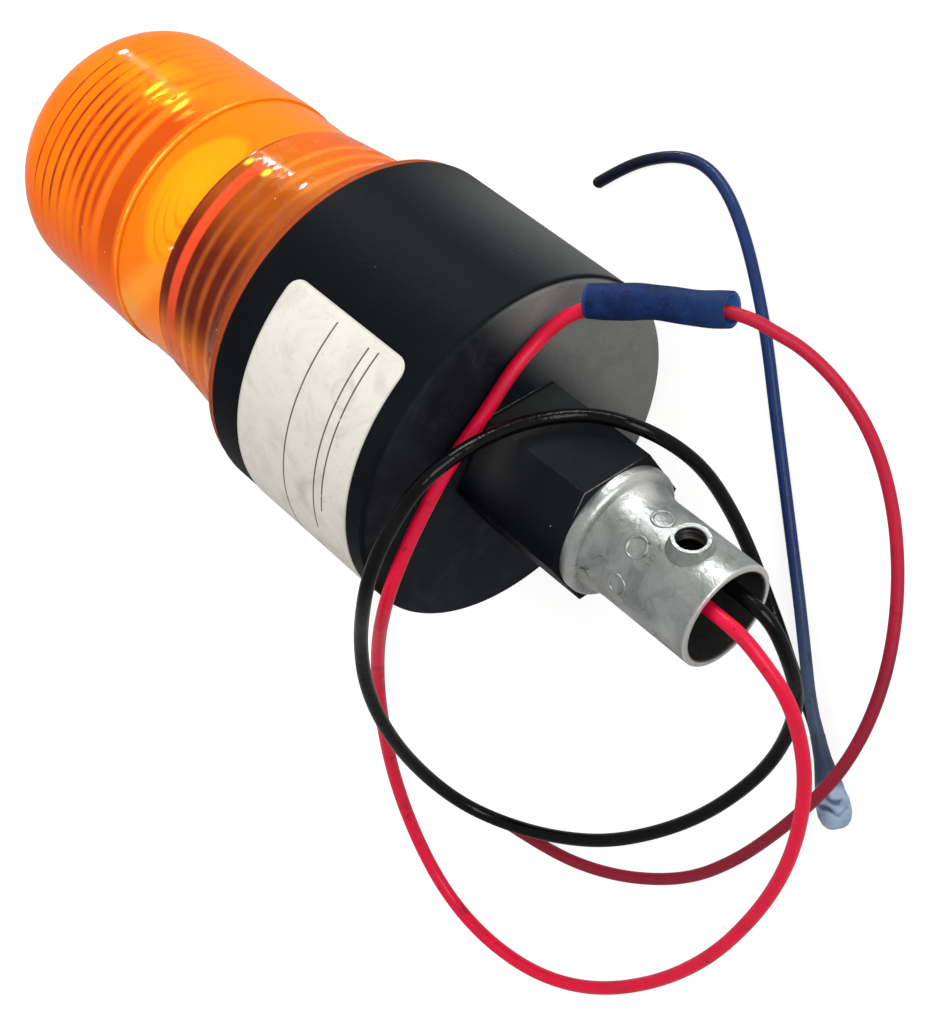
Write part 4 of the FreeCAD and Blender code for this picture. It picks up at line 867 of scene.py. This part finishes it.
def lead(name, node, route, radius, stuff, with_pieces=()):
    """A lead as one smooth line through its route, in place of its plain solid."""
    curve = bpy.data.curves.new(name, "CURVE")
    curve.dimensions = "3D"
    line = curve.splines.new("NURBS")
    line.points.add(len(route) - 1)
    for point, spot in zip(line.points, route):
        point.co = (spot[0] * MM, spot[1] * MM, spot[2] * MM, 1.0)
    line.order_u = 3
    line.use_endpoint_u = True
    curve.resolution_u = 12
    curve.bevel_depth = radius * MM
    curve.bevel_resolution = 7
    curve.use_fill_caps = True
    curve.materials.append(stuff.material)
    piece = bpy.data.objects.new(name, curve)
    bpy.context.collection.objects.link(piece)
    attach(piece, "housing")
    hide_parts(node)
    return piece


lead("red_wire", "red_lead", RED, THICK, red_pvc,
     [splice_sleeve(), "splice_barrel"])
lead("red_extension_wire", "red_extension", EXTENSION, THIN, dark_red_pvc,
     strands("extension_strand", EXTENSION[-1], np.subtract(EXTENSION[-1], EXTENSION[-2]), 0.5))
lead("black_wire", "black_lead", BLACK, THICK, black_pvc, [splice_cap()])
lead("blue_wire", "blue_lead", BLUE, THIN, blue_pvc,
     [cut_end("blue_cut_end", BLUE[0], np.subtract(BLUE[0], BLUE[1]), THIN, blue_pvc)])

# ------------------------------------------------------------------ table, backdrop and light
scene = bpy.context.scene
scene.view_settings.view_transform = "Standard"


def by_ray(tree, plain_look, others, output):
    """Shows each kind of ray its own surface or sky: pairs of Light Path output and shader."""
    path = shader_node(tree, "LightPath")
    look = plain_look
    for kind, other in others:
        look = shader_node(tree, "MixShader", None, {0: path.outputs[kind], 1: look, 2: other}).outputs[0]
    tree.links.new(look, output)


def sky(tree, strength):
    """A plain white sky of one strength."""
    return shader_node(tree, "Background", None, {"Color": (1.0, 1.0, 1.0), "Strength": strength}).outputs[0]


world = bpy.data.worlds.new("room")
scene.world = world
world.use_nodes = True
room = world.node_tree
skies = [("Is Glossy Ray", sky(room, 0.30)), ("Is Transmission Ray", sky(room, 0.95)),
         ("Is Camera Ray", sky(room, 1.0))]
by_ray(room, sky(room, 0.75), skies, room.nodes["World Output"].inputs["Surface"])

TABLE = 1.5            # half the table's width
corners = [(-TABLE, -TABLE, 0), (TABLE, -TABLE, 0), (TABLE, TABLE, 0), (-TABLE, TABLE, 0)]
table_mesh = bpy.data.meshes.new("table")
table_mesh.from_pydata(corners, [], [(0, 1, 2, 3)])
table = bpy.data.objects.new("table", table_mesh)
bpy.context.collection.objects.link(table)
table_top = Stuff("table_top")
table_top.set(Base_Color=(0.80, 0.79, 0.77), Roughness=0.8, Specular_IOR_Level=0.2)
table_mesh.materials.append(table_top.material)
matt = table_top.skin.outputs[0]
glow = shader_node(table_top.tree, "Emission", None, {"Strength": 1.25}).outputs[0]
dim = shader_node(table_top.tree, "Emission", None, {"Strength": 0.42}).outputs[0]
soft = shader_node(table_top.tree, "MixShader", None, {0: 0.66, 1: matt, 2: glow}).outputs[0]
by_ray(table_top.tree, matt, [("Is Glossy Ray", dim), ("Is Camera Ray", soft)],
       table_top.tree.nodes["Material Output"].inputs["Surface"])


def lamp(name, place, aim, size, power, tint=(1.0, 1.0, 1.0), shows=True):
    """A soft rectangular light pointing at a place; shows is whether glossy things mirror it."""
    light = bpy.data.lights.new(name, "AREA")
    light.shape = "RECTANGLE"
    light.size, light.size_y = size
    light.energy = power
    light.color = tint
    thing = bpy.data.objects.new(name, light)
    thing.location = place
    thing.rotation_euler = (Vector(aim) - Vector(place)).to_track_quat("-Z", "Y").to_euler()
    thing.visible_glossy = shows
    bpy.context.collection.objects.link(thing)


lamp("ceiling", (-0.20, 0.10, 0.80), (0.0, 0.0, 0.03), (0.40, 0.40), 3.0, shows=False)
lamp("window", (0.70, 0.45, 0.45), (0.02, 0.0, 0.04), (0.5, 0.5), 3.0, (1.0, 0.98, 0.95))
lamp("side_window", (-0.25, 1.0, 0.30), (0.03, 0.0, 0.04), (0.6, 0.35), 5.0)
lamp("far_window", (-1.0, 0.735, 0.085), (-0.03, 0.02, 0.05), (0.08, 0.06), 2.5)
